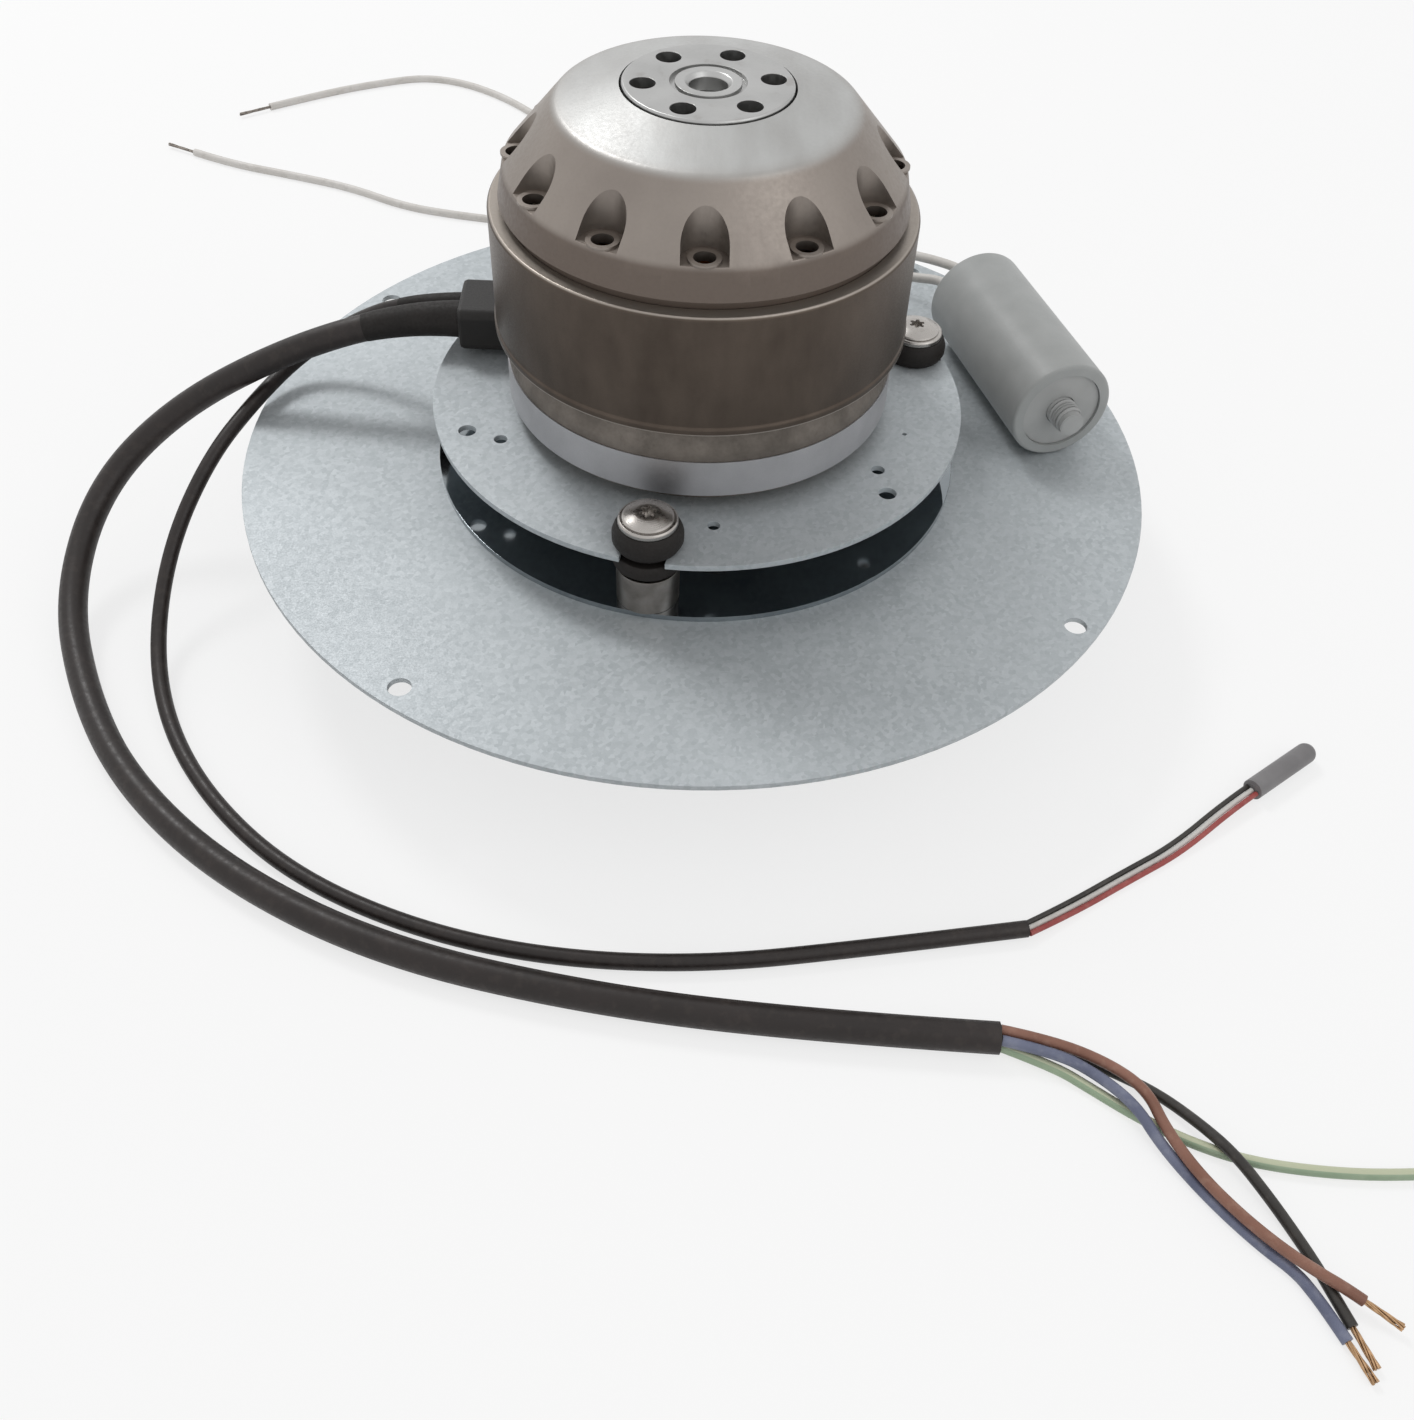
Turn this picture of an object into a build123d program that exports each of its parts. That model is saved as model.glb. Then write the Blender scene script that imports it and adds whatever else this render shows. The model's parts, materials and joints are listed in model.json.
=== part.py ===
from build123d import *
import math
import os

# Exhaust fan of a pellet stove: an external-rotor motor hung on three rubber
# dampers above a round mounting plate, with the impeller under that plate.
# Millimetres. The origin is the centre of the mounting plate's underside, the
# shaft runs along Z, and the camera side of the fan is -Y.

# Clearances
fit_gap = 0.05
bore_gap = 0.15
running_gap = 0.3
shaft_way_gap = 1.0

# Mounting plate and its rim holes
plate_diameter = 240.0
plate_thickness = 1.5
rim_hole_count = 4
rim_hole_inset = 5.7
rim_hole_diameter = 5.5
rim_hole_start = -125.2

# Polished heat shield lying on the plate
shield_thickness = 1.5

# Motor plate and its holes
motor_plate_thickness = 1.5
motor_plate_bore = 24.0
large_hole_inset = 0.3
large_hole_diameter = 4.5
large_hole_start = -160.3
small_hole_inset = 7.2
small_hole_diameter = 3.4
small_hole_start = -154.2
front_hole_inset = 7.5
front_hole_diameter = 3.1
front_hole_start = -85.2
pin_hole_inset = 6.6
pin_hole_diameter = 1.2
pin_hole_angle = -16.4

# Rubber dampers, each on a steel sleeve
damper_count = 3
damper_flange_gap = 4.9
damper_edge_margin = 7.0
damper_start = -100.0
sleeve_diameter = 15.2
sleeve_height = 10.0
sleeve_neck_diameter = 7.6
grommet_diameter = 17.0
grommet_groove_diameter = 10.8
grommet_lower_height = 4.8
grommet_upper_height = 6.8
cup_diameter = 14.2
cup_rise = 0.8
cup_wall = 0.9
cup_drop = 0.6
damper_screw_diameter = 4.0
damper_head_diameter = 12.2
damper_head_height = 1.6
damper_recess_diameter = 2.8
damper_lobe_diameter = 1.0
damper_lobe_circle = 3.2
damper_nut_width = 7.0
damper_nut_height = 3.2

# Stator flange, the cup-shaped foot of the motor
flange_diameter = 97.2
flange_foot_step = 4.6
flange_foot_height = 4.0
flange_floor = 6.0
flange_wall = 3.4
flange_band_height = 10.7
flange_taper_height = 7.0
flange_taper = 2.4
flange_boss_wall = 4.0
flange_boss_height = 4.7
flange_screw_count = 3
flange_screw_inset = 10.0
flange_screw_start = 40.0
flange_screw_diameter = 4.0
flange_screw_head_diameter = 7.0
flange_screw_head_height = 2.4
label_thickness = 0.3
label_margin = 0.5

# Block where the two cables leave the flange
gland_length = 21.0
gland_depth = 5.6
gland_centre_y = 20.0
gland_width = 18.0
gland_height = 12.0
gland_bottom = 21.0
gland_corner = 2.5

# Shaft, bearing tube and bearings
shaft_diameter = 10.0
shaft_thread_diameter = 8.0
tube_diameter = 32.0
tube_bore = 23.0
tube_top = 84.0
bearing_diameter = 26.0
bearing_width = 8.0
lower_bearing_lift = 1.7
upper_bearing_bottom = 75.0
ball_count = 7
ball_diameter = 4.76
ball_circle = 18.0
race_wall = 2.1
spacer_diameter = 14.0

# Stator core, windings and end insulators
core_bottom = 47.4
core_height = 22.0
rotor_iron_width = 9.2
slot_count = 12
slot_inner_radius = 23.0
slot_tip = 2.8
slot_width = 6.0
slot_mouth = 2.0
slot_lining = 0.3
insulator_thickness = 1.5
insulator_inset = 1.3
winding_height = 7.5
winding_inner_radius = 19.5
winding_bulge = 2.0
winding_sensor_gap = 0.75

# Rotor can and rotor core
can_overhang = 2.4
can_wall = 1.5
can_bottom = 42.9
can_height = 30.2
can_bead = 0.4
can_bead_height = 1.5
air_gap = 0.3
end_ring_height = 2.5
magnet_height = 1.7
magnet_width = 3.5

# Speed sensor inside the flange
sensor_angle = 160.0
sensor_inset = 9.1
sensor_holder_length = 5.5
sensor_holder_width = 10.0
sensor_holder_height = 12.7
sensor_board_thickness = 1.6
sensor_chip_size = 3.0
sensor_chip_height = 1.5

# Die-cast dome on top of the rotor
spigot_step = 4.0
spigot_wall = 3.5
spigot_depth = 3.6
neck_height = 2.2
band_step = 2.7
band_draft = 1.4
band_height = 7.0
cone_run = 12.4
crease_rise = 14.4
crease_fillet = 3.0
annulus_rise = 3.7
cavity_step = 0.8
cavity_ledge = 1.3
crown_wall = 5.7
pocket_count = 12
pocket_start = -89.5
pocket_step = 9.1
pocket_diameter = 10.4
pocket_floor_rise = 0.4
pocket_ring_diameter = 7.4
pocket_ring_height = 0.6
pocket_hole_diameter = 5.0
pocket_hole_depth = 3.4

# Turned hub disc in the middle of the dome
hub_diameter = 38.8
hub_height = 8.1
hub_gap = 0.5
hub_proud = 0.7
hub_hole_count = 6
hub_hole_circle = 29.4
hub_hole_diameter = 5.8
hub_hole_start = 8.8
hub_bore = 8.7
hub_boss_diameter = 15.0
hub_groove_width = 1.2
hub_groove_depth = 1.0
hub_chamfer = 1.0
hub_socket_depth = 4.0

# Impeller under the mounting plate
impeller_diameter = 180.0
impeller_gap = 6.0
impeller_sheet = 1.2
blade_count = 9
blade_height = 22.6
blade_inner_radius = 48.0
blade_rim_margin = 1.5
blade_radius = 62.0
blade_inlet_angle = 32.0
inlet_diameter = 106.0
inlet_lip_height = 2.0
impeller_hub_diameter = 24.0
impeller_hub_flange_diameter = 40.0
impeller_hub_flange_height = 2.5
impeller_hub_height = 16.8
rivet_count = 4
rivet_circle = 32.0
rivet_diameter = 4.0
rivet_head_diameter = 6.6
rivet_head_height = 1.0
shaft_washer_diameter = 16.0
shaft_washer_thickness = 1.6
shaft_nut_width = 13.0
shaft_nut_height = 5.4

# Run capacitor lying on the mounting plate
capacitor_diameter = 28.0
capacitor_length = 58.5
capacitor_angle = 107.0
capacitor_near_x = 97.3
capacitor_near_y = 1.9
capacitor_rest_gap = 0.1
capacitor_lid_diameter = 22.0
capacitor_lid_recess = 0.8
capacitor_lid_thickness = 2.0
stud_diameter = 8.0
stud_length = 12.5
stud_collar_diameter = 13.0
stud_collar_height = 1.6
stud_chamfer = 0.8

# Cords and wires
mains_diameter = 7.2
signal_diameter = 4.0
core_diameter = 2.4
core_pitch = 2.5
sheath_end_gap = 0.3
core_bare_diameter = 1.3
core_bare_length = 8.0
wire_diameter = 1.3
wire_pitch = 1.4
splice_cap_diameter = 5.4
splice_cap_length = 23.0
splice_cap_tip = 2.2
lead_diameter = 2.8
lead_pitch = 9.0
lead_bare_diameter = 1.1
lead_bare_length = 13.0

# The rim holes keep their distance from the plate's edge
rim_hole_circle = plate_diameter - 2 * rim_hole_inset

# The dampers stand round the flange, and both discs reach past the dampers
damper_circle = flange_diameter + grommet_diameter + 2 * damper_flange_gap
motor_plate_diameter = damper_circle + 2 * damper_edge_margin
shield_diameter = motor_plate_diameter
large_hole_circle = damper_circle - 2 * large_hole_inset
small_hole_circle = damper_circle - 2 * small_hole_inset
front_hole_circle = damper_circle - 2 * front_hole_inset
pin_hole_circle = damper_circle - 2 * pin_hole_inset

# Sizes that follow from the flange
flange_foot_diameter = flange_diameter - 2 * flange_foot_step
flange_screw_circle = flange_foot_diameter - 2 * flange_screw_inset
gland_inner_x = gland_depth - flange_diameter / 2
gland_outer_x = gland_inner_x - gland_length
sensor_radius = flange_diameter / 2 - sensor_inset
winding_top_radius = sensor_radius - sensor_holder_length / 2 - winding_sensor_gap
winding_outer_radius = winding_top_radius - winding_bulge

# The rotor can reaches just past the flange, and its other sizes follow from it
can_diameter = flange_diameter + 2 * can_overhang
stator_diameter = can_diameter - 2 * rotor_iron_width
slot_outer_radius = stator_diameter / 2 - slot_tip
insulator_diameter = stator_diameter - 2 * insulator_inset
spigot_diameter = can_diameter - 2 * spigot_step
band_bottom_diameter = can_diameter - 2 * band_step
band_top_diameter = band_bottom_diameter - 2 * band_draft
crease_diameter = band_top_diameter - 2 * cone_run
cavity_radius = crease_diameter / 2 + cavity_step
pocket_circle = crease_diameter + 2 * pocket_step

# Heights that follow from the values above
plate_top = plate_thickness
shield_top = plate_top + shield_thickness
sleeve_top = shield_top + sleeve_height
motor_plate_bottom = sleeve_top + grommet_lower_height
motor_plate_top = motor_plate_bottom + motor_plate_thickness
grommet_top = motor_plate_top + grommet_upper_height
cup_top = grommet_top + cup_rise
flange_floor_top = motor_plate_top + flange_floor
band_floor = motor_plate_top + flange_foot_height
band_top = band_floor + flange_band_height
flange_rim = band_top + flange_taper_height
core_top = core_bottom + core_height
can_top = can_bottom + can_height
dome_band_bottom = can_top + neck_height
dome_band_top = dome_band_bottom + band_height
crease_z = dome_band_top + crease_rise
annulus_z = crease_z + annulus_rise
hub_top = annulus_z + hub_proud
hub_bottom = hub_top - hub_height
lower_bearing_bottom = motor_plate_top + lower_bearing_lift
lower_bearing_top = lower_bearing_bottom + bearing_width
upper_bearing_top = upper_bearing_bottom + bearing_width
backplate_top = -impeller_gap
backplate_bottom = backplate_top - impeller_sheet
shroud_top = backplate_bottom - blade_height
shroud_bottom = shroud_top - impeller_sheet
ground = shroud_bottom - inlet_lip_height
impeller_hub_bottom = backplate_bottom - impeller_hub_height
shaft_washer_bottom = impeller_hub_bottom - shaft_washer_thickness
shaft_nut_bottom = shaft_washer_bottom - shaft_nut_height

shaft_radius = shaft_diameter / 2
plate_bore_radius = spacer_diameter / 2 + shaft_way_gap

nodes = {}


def polar(circle, angle, z=0.0):
    # A point on a circle given by its diameter.
    turn = math.radians(angle)
    return (circle / 2 * math.cos(turn), circle / 2 * math.sin(turn), z)


def disc(diameter, bottom, top):
    height = top - bottom
    return Pos(0, 0, bottom + height / 2) * Cylinder(diameter / 2, height)


def tube(outer, inner, bottom, top):
    return disc(outer, bottom, top) - disc(inner, bottom - 1, top + 1)


def turned(profile):
    # Turns a list of (radius, height) corners about the shaft axis.
    outline = Polyline(*[(radius, 0, z) for radius, z in profile], close=True)
    return revolve(make_face(outline), Axis.Z, 360)


def around(shape, count, start, circle=0.0):
    # Copies of one shape, placed evenly on a circle about the shaft axis.
    step = 360.0 / count
    return [Rot(0, 0, start + i * step) * Pos(circle / 2, 0, 0) * shape for i in range(count)]


def cut(body, tools):
    for tool in tools:
        body = body - tool
    return body


def hexagon(width, bottom, top, bore):
    corner_radius = width / math.sqrt(3)
    prism = extrude(RegularPolygon(corner_radius, 6), top - bottom)
    return Pos(0, 0, bottom) * prism - disc(bore, bottom - 1, top + 1)


def group(shapes):
    return Compound(children=[shape.solid() for shape in shapes])


def mounting_plate():
    plate = disc(plate_diameter, 0, plate_top)
    plate = plate - disc(2 * plate_bore_radius, -1, plate_top + 1)
    rim_hole = disc(rim_hole_diameter, -1, plate_top + 1)
    plate = cut(plate, around(rim_hole, rim_hole_count, rim_hole_start, rim_hole_circle))
    screw_hole = disc(damper_screw_diameter + 2 * bore_gap, -1, plate_top + 1)
    return cut(plate, around(screw_hole, damper_count, damper_start, damper_circle))


def heat_shield_disc():
    shield = disc(shield_diameter, plate_top, shield_top)
    shield = shield - disc(2 * plate_bore_radius, 0, shield_top + 1)
    screw_hole = disc(damper_screw_diameter + 2 * bore_gap, 0, shield_top + 1)
    return cut(shield, around(screw_hole, damper_count, damper_start, damper_circle))


def standoff_sleeve():
    sleeve = disc(sleeve_diameter, shield_top, sleeve_top)
    sleeve = sleeve + disc(sleeve_neck_diameter, sleeve_top, grommet_top)
    return sleeve - disc(damper_screw_diameter + 2 * bore_gap, 0, grommet_top + 1)


def damper_grommet():
    bore = sleeve_neck_diameter / 2 + fit_gap
    groove = grommet_groove_diameter / 2
    outer = grommet_diameter / 2
    lower = sleeve_top + fit_gap
    groove_bottom = motor_plate_bottom - fit_gap
    groove_top = motor_plate_top + fit_gap
    crown = cup_diameter / 2 - cup_wall - fit_gap
    shoulder = grommet_top - cup_drop - fit_gap
    return turned([
        (bore, lower),
        (outer - 1.6, lower),
        (outer, lower + 1.6),
        (outer, groove_bottom - 1.2),
        (outer - 0.7, groove_bottom),
        (groove, groove_bottom),
        (groove, groove_top),
        (outer - 0.8, groove_top),
        (outer, groove_top + 1.6),
        (outer, groove_top + 3.4),
        (outer - 0.5, groove_top + 4.8),
        (cup_diameter / 2 + 0.2, shoulder),
        (crown, shoulder),
        (crown, grommet_top),
        (bore, grommet_top),
    ])


def damper_cup_washer():
    hole = damper_screw_diameter / 2 + bore_gap
    outer = cup_diameter / 2
    return turned([
        (hole, grommet_top),
        (outer - cup_wall, grommet_top),
        (outer - cup_wall, grommet_top - cup_drop),
        (outer, grommet_top - cup_drop),
        (outer, cup_top - 0.4),
        (outer - 0.4, cup_top),
        (hole, cup_top),
    ])


def damper_screw():
    head_top = cup_top + damper_head_height
    radius = damper_head_diameter / 2
    head = turned([
        (0, cup_top),
        (radius, cup_top),
        (radius, cup_top + 0.3),
        (radius - 0.6, cup_top + 0.6),
        (radius - 2.2, head_top - 0.35),
        (radius - 3.6, head_top),
        (0, head_top),
    ])
    screw = head + disc(damper_screw_diameter, -damper_nut_height - 0.5, cup_top)
    recess_bottom = head_top - 1.4
    screw = screw - disc(damper_recess_diameter, recess_bottom, head_top + 1)
    lobe = disc(damper_lobe_diameter, recess_bottom, head_top + 1)
    return cut(screw, around(lobe, 6, 0, damper_lobe_circle))


def damper_nut():
    return hexagon(damper_nut_width, -damper_nut_height, 0, damper_screw_diameter + 2 * fit_gap)


def motor_plate():
    low = motor_plate_bottom - 1
    high = motor_plate_top + 1
    plate = disc(motor_plate_diameter, motor_plate_bottom, motor_plate_top)
    plate = plate - disc(motor_plate_bore, low, high)
    slot_width_here = grommet_groove_diameter + 2 * fit_gap
    slot_length = motor_plate_diameter / 2 - damper_circle / 2 + 5
    slot = disc(slot_width_here, low, high)
    way = Box(slot_length, slot_width_here, high - low, align=(Align.MIN, Align.CENTER, Align.MIN))
    slot = slot + Pos(0, 0, low) * way
    plate = cut(plate, around(slot, damper_count, damper_start, damper_circle))
    large = disc(large_hole_diameter, low, high)
    plate = cut(plate, around(large, damper_count, large_hole_start, large_hole_circle))
    small = disc(small_hole_diameter, low, high)
    plate = cut(plate, around(small, damper_count, small_hole_start, small_hole_circle))
    front = disc(front_hole_diameter, low, high)
    plate = cut(plate, around(front, damper_count, front_hole_start, front_hole_circle))
    pin = disc(pin_hole_diameter, low, high)
    plate = cut(plate, around(pin, 1, pin_hole_angle, pin_hole_circle))
    screw = disc(flange_screw_diameter + 2 * bore_gap, low, high)
    return cut(plate, around(screw, flange_screw_count, flange_screw_start, flange_screw_circle))


def gland_block(gap):
    # The outside of the cable gland, grown by a gap for the window it sits in.
    length = gland_inner_x - gland_outer_x
    block = Box(length + 2 * gap, gland_width + 2 * gap, gland_height + 2 * gap)
    block = fillet(block.edges().filter_by(Axis.X), gland_corner + gap)
    centre_x = (gland_inner_x + gland_outer_x) / 2
    return Pos(centre_x, gland_centre_y, gland_bottom + gland_height / 2) * block


def stator_flange():
    outer = flange_diameter / 2
    inner = outer - flange_wall
    bore = tube_diameter / 2 + fit_gap
    boss = tube_diameter / 2 + flange_boss_wall
    flange = turned([
        (bore, motor_plate_top),
        (flange_foot_diameter / 2, motor_plate_top),
        (flange_foot_diameter / 2, band_floor),
        (outer, band_floor),
        (outer, band_top),
        (outer - flange_taper, flange_rim),
        (inner - flange_taper, flange_rim),
        (inner, band_top),
        (inner, flange_floor_top),
        (boss, flange_floor_top),
        (boss, flange_floor_top + flange_boss_height),
        (bore, flange_floor_top + flange_boss_height),
    ])
    flange = flange - gland_block(fit_gap)
    screw = disc(flange_screw_diameter + 2 * fit_gap, motor_plate_top - 1, flange_floor_top + 1)
    return cut(flange, around(screw, flange_screw_count, flange_screw_start, flange_screw_circle))


def label_band():
    inner = flange_diameter + 2 * fit_gap
    outer = inner + 2 * label_thickness
    band = tube(outer, inner, band_floor + label_margin, band_top - label_margin)
    window = Box(gland_inner_x - gland_outer_x, gland_width + 2, 3 * gland_height)
    centre_x = (gland_inner_x + gland_outer_x) / 2
    return band - Pos(centre_x, gland_centre_y, gland_bottom + gland_height / 2) * window


def cable_gland():
    block = gland_block(0)
    room = disc(2 * (flange_diameter / 2 - flange_wall - 2), 0, flange_rim)
    return block - room


def flange_screw():
    head_bottom = motor_plate_bottom - flange_screw_head_height
    head = disc(flange_screw_head_diameter, head_bottom, motor_plate_bottom)
    head = chamfer(head.edges().group_by(Axis.Z)[0], 0.6)
    return head + disc(flange_screw_diameter, motor_plate_bottom, flange_floor_top - 0.3)


def bearing_tube():
    seat = bearing_diameter / 2 + fit_gap
    bore = tube_bore / 2
    outer = tube_diameter / 2
    return turned([
        (seat, motor_plate_top),
        (outer, motor_plate_top),
        (outer, tube_top),
        (seat, tube_top),
        (seat, upper_bearing_bottom),
        (bore, upper_bearing_bottom),
        (bore, lower_bearing_top),
        (seat, lower_bearing_top),
    ])


def raceway(bottom):
    middle = bottom + bearing_width / 2
    return Pos(0, 0, middle) * Torus(ball_circle / 2, ball_diameter / 2 + fit_gap)


def bearing_outer_ring(bottom):
    inner = bearing_diameter - 2 * race_wall
    return tube(bearing_diameter, inner, bottom, bottom + bearing_width) - raceway(bottom)


def bearing_inner_ring(bottom):
    inner = shaft_diameter + 2 * fit_gap
    outer = shaft_diameter + 2 * race_wall
    return tube(outer, inner, bottom, bottom + bearing_width) - raceway(bottom)


def bearing_balls(bottom):
    ball = Pos(0, 0, bottom + bearing_width / 2) * Sphere(ball_diameter / 2)
    return around(ball, ball_count, 0, ball_circle)


def preload_washer():
    outer = bearing_diameter - 0.4
    return tube(outer, outer - 4.4, motor_plate_top + fit_gap, lower_bearing_bottom - fit_gap)


def slot_tool(width, bottom, top):
    length = slot_outer_radius - slot_inner_radius - width
    box = Box(length, width, top - bottom, align=(Align.MIN, Align.CENTER, Align.MIN))
    inner = slot_inner_radius + width / 2
    tool = Pos(inner, 0, bottom) * box
    tool = tool + Pos(inner, 0, 0) * disc(width, bottom, top)
    return tool + Pos(inner + length, 0, 0) * disc(width, bottom, top)


def stator_core():
    core = tube(stator_diameter, tube_diameter + 2 * fit_gap, core_bottom, core_top)
    low = core_bottom - 1
    high = core_top + 1
    mouth_length = stator_diameter / 2 - slot_outer_radius + 3
    mouth = Box(mouth_length, slot_mouth, high - low, align=(Align.MIN, Align.CENTER, Align.MIN))
    tool = slot_tool(slot_width, low, high) + Pos(slot_outer_radius - 2, 0, low) * mouth
    return cut(core, around(tool, slot_count, 0))


def end_insulator(bottom):
    top = bottom + insulator_thickness
    plate = tube(insulator_diameter, tube_diameter + 2 * fit_gap, bottom, top)
    return cut(plate, around(slot_tool(slot_width, bottom - 1, top + 1), slot_count, 0))


def stator_winding():
    upper = core_top + insulator_thickness
    lower = core_bottom - insulator_thickness
    inner = winding_inner_radius
    outer = winding_outer_radius
    winding = None
    for base, tip in ((upper, upper + winding_height), (lower, lower - winding_height)):
        side = math.copysign(2.0, tip - base)
        ring = turned([
            (inner, base),
            (outer + winding_bulge, base),
            (outer + winding_bulge, tip - 2 * side),
            (outer - 1, tip),
            (inner + 2, tip),
            (inner, tip - side),
        ])
        winding = ring if winding is None else winding + ring
    bar = slot_tool(slot_width - 2 * slot_lining, lower - 1, upper + 1)
    for copy in around(bar, slot_count, 0):
        winding = winding + copy
    return winding


def at_sensor(shape):
    return Rot(0, 0, sensor_angle) * Pos(sensor_radius, 0, 0) * shape


def sensor_holder():
    block = Box(sensor_holder_length, sensor_holder_width, sensor_holder_height,
                align=(Align.CENTER, Align.CENTER, Align.MIN))
    return at_sensor(Pos(0, 0, flange_floor_top) * block)


def speed_sensor_board():
    bottom = flange_floor_top + sensor_holder_height
    seat = (Align.CENTER, Align.CENTER, Align.MIN)
    board = Box(sensor_holder_length, sensor_holder_width, sensor_board_thickness, align=seat)
    chip = Box(sensor_chip_size, sensor_chip_size, sensor_chip_height, align=seat)
    chip = Pos(0, 0, sensor_board_thickness) * chip
    return at_sensor(Pos(0, 0, bottom) * (board + chip))


def rotor_can():
    outer = can_diameter / 2
    inner = outer - can_wall
    lip = spigot_diameter / 2 + fit_gap
    return turned([
        (inner, can_bottom),
        (outer + can_bead, can_bottom),
        (outer + can_bead, can_bottom + can_bead_height),
        (outer, can_bottom + can_bead_height + 0.5),
        (outer, can_top - 0.6),
        (outer - 0.6, can_top),
        (lip, can_top),
        (lip, can_top - can_wall),
        (inner, can_top - can_wall),
    ])


def rotor_core():
    outer = can_diameter - 2 * can_wall - 2 * fit_gap
    return tube(outer, stator_diameter + 2 * air_gap, core_bottom, core_top)


def rotor_end_ring():
    outer = can_diameter - 2 * can_wall - 2 * fit_gap
    inner = stator_diameter + 2 * air_gap + 1.0
    return tube(outer, inner, core_bottom - end_ring_height, core_bottom)


def sensor_magnet_ring():
    outer = can_diameter - 2 * can_wall - 2 * fit_gap
    top = core_bottom - end_ring_height
    return tube(outer, outer - 2 * magnet_width, top - magnet_height, top)


def cone_radius(z):
    share = (z - dome_band_top) / crease_rise
    return band_top_diameter / 2 + share * (crease_diameter - band_top_diameter) / 2


def rotor_dome():
    spigot = spigot_diameter / 2
    spigot_bottom = can_top - spigot_depth
    hub_seat = hub_diameter / 2 + hub_gap
    crown = hub_bottom - crown_wall + 1.2
    pocket_floor = dome_band_top + pocket_floor_rise
    ledge = dome_band_top - cavity_ledge
    boss = shaft_radius + race_wall - 0.3
    dome = turned([
        (shaft_radius + fit_gap, hub_bottom),
        (hub_seat, hub_bottom),
        (hub_seat, annulus_z),
        (crease_diameter / 2, crease_z),
        (band_top_diameter / 2, dome_band_top),
        (band_bottom_diameter / 2, dome_band_bottom),
        (spigot, dome_band_bottom),
        (spigot, spigot_bottom),
        (spigot - spigot_wall, spigot_bottom),
        (spigot - spigot_wall, ledge),
        (cavity_radius, ledge),
        (cavity_radius, crown + 1.0),
        (cavity_radius - 3.0, crown + 3.2),
        (hub_seat + 4.0, crown + 3.2),
        (hub_seat + 2.0, crown),
        (boss, crown),
        (boss, upper_bearing_top),
        (shaft_radius + fit_gap, upper_bearing_top),
    ])
    crease = [e for e in dome.edges().filter_by(GeomType.CIRCLE) if abs(e.center().Z - crease_z) < 0.01]
    dome = fillet(crease, crease_fillet)
    ring_top = pocket_floor + pocket_ring_height
    pocket_ring = tube(pocket_ring_diameter, pocket_hole_diameter, pocket_floor, ring_top)
    hole = disc(pocket_hole_diameter, pocket_floor - pocket_hole_depth, pocket_floor + 1)
    scoop = disc(pocket_diameter, pocket_floor, annulus_z)
    way = Box(pocket_diameter, pocket_diameter, annulus_z - pocket_floor,
              align=(Align.MIN, Align.CENTER, Align.MIN))
    scoop = scoop + Pos(0, 0, pocket_floor) * way
    dome = cut(dome, around(scoop, pocket_count, pocket_start, pocket_circle))
    for copy in around(pocket_ring, pocket_count, pocket_start, pocket_circle):
        dome = dome + copy
    return cut(dome, around(hole, pocket_count, pocket_start, pocket_circle))


def hub_disc():
    outer = hub_diameter / 2
    hub = disc(hub_diameter, hub_bottom, hub_top)
    hub = chamfer(hub.edges().group_by(Axis.Z)[-1], 0.4)
    groove_outer = hub_boss_diameter + 2 * hub_groove_width
    hub = hub - tube(groove_outer, hub_boss_diameter, hub_top - hub_groove_depth, hub_top + 1)
    hub = hub - disc(hub_bore, hub_bottom - 1, hub_top + 1)
    hub = hub - disc(shaft_diameter + 2 * fit_gap, hub_bottom - 1, hub_bottom + hub_socket_depth)
    flare = turned([
        (0, hub_top - hub_chamfer),
        (hub_bore / 2, hub_top - hub_chamfer),
        (hub_bore / 2 + hub_chamfer, hub_top),
        (hub_bore / 2 + hub_chamfer, hub_top + 1),
        (0, hub_top + 1),
    ])
    hub = hub - flare
    bolt_hole = disc(hub_hole_diameter, hub_bottom - 1, hub_top + 1)
    return cut(hub, around(bolt_hole, hub_hole_count, hub_hole_start, hub_hole_circle))


def rotor_shaft():
    top = hub_bottom + hub_socket_depth
    shaft = disc(shaft_diameter, impeller_hub_bottom, top)
    shaft = chamfer(shaft.edges().group_by(Axis.Z)[-1], 0.5)
    return shaft + disc(shaft_thread_diameter, shaft_nut_bottom - 0.2, impeller_hub_bottom)


def spacer_sleeve():
    bore = shaft_diameter + 2 * fit_gap
    return tube(spacer_diameter, bore, backplate_top, lower_bearing_bottom)


def impeller_backplate():
    bore = shaft_diameter + 2 * fit_gap
    plate = tube(impeller_diameter, bore, backplate_bottom, backplate_top)
    rivet = disc(rivet_diameter + 2 * fit_gap, backplate_bottom - 1, backplate_top + 1)
    return cut(plate, around(rivet, rivet_count, 45, rivet_circle))


def impeller_blade():
    # One backward-curved blade: a strip of a ring about a centre beside the shaft.
    outer_radius = impeller_diameter / 2 - blade_rim_margin
    lean = math.radians(90 + blade_inlet_angle)
    centre_x = blade_inner_radius + blade_radius * math.cos(lean + math.pi / 2)
    centre_y = blade_radius * math.sin(lean + math.pi / 2)
    away = math.hypot(centre_x, centre_y)
    strip_outer = 2 * blade_radius + impeller_sheet
    strip = tube(strip_outer, strip_outer - 2 * impeller_sheet, shroud_top, backplate_bottom)
    strip = Pos(centre_x, centre_y, 0) * strip
    sweep_ring = tube(2 * outer_radius, 2 * blade_inner_radius, shroud_top - 1, backplate_bottom + 1)
    side = Rot(0, 0, math.degrees(math.atan2(centre_y, centre_x)))
    seat = (Align.CENTER, Align.MIN, Align.CENTER)
    half = Box(4 * away, 2 * impeller_diameter, impeller_diameter, align=seat)
    return (strip & sweep_ring) & (side * half)


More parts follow.
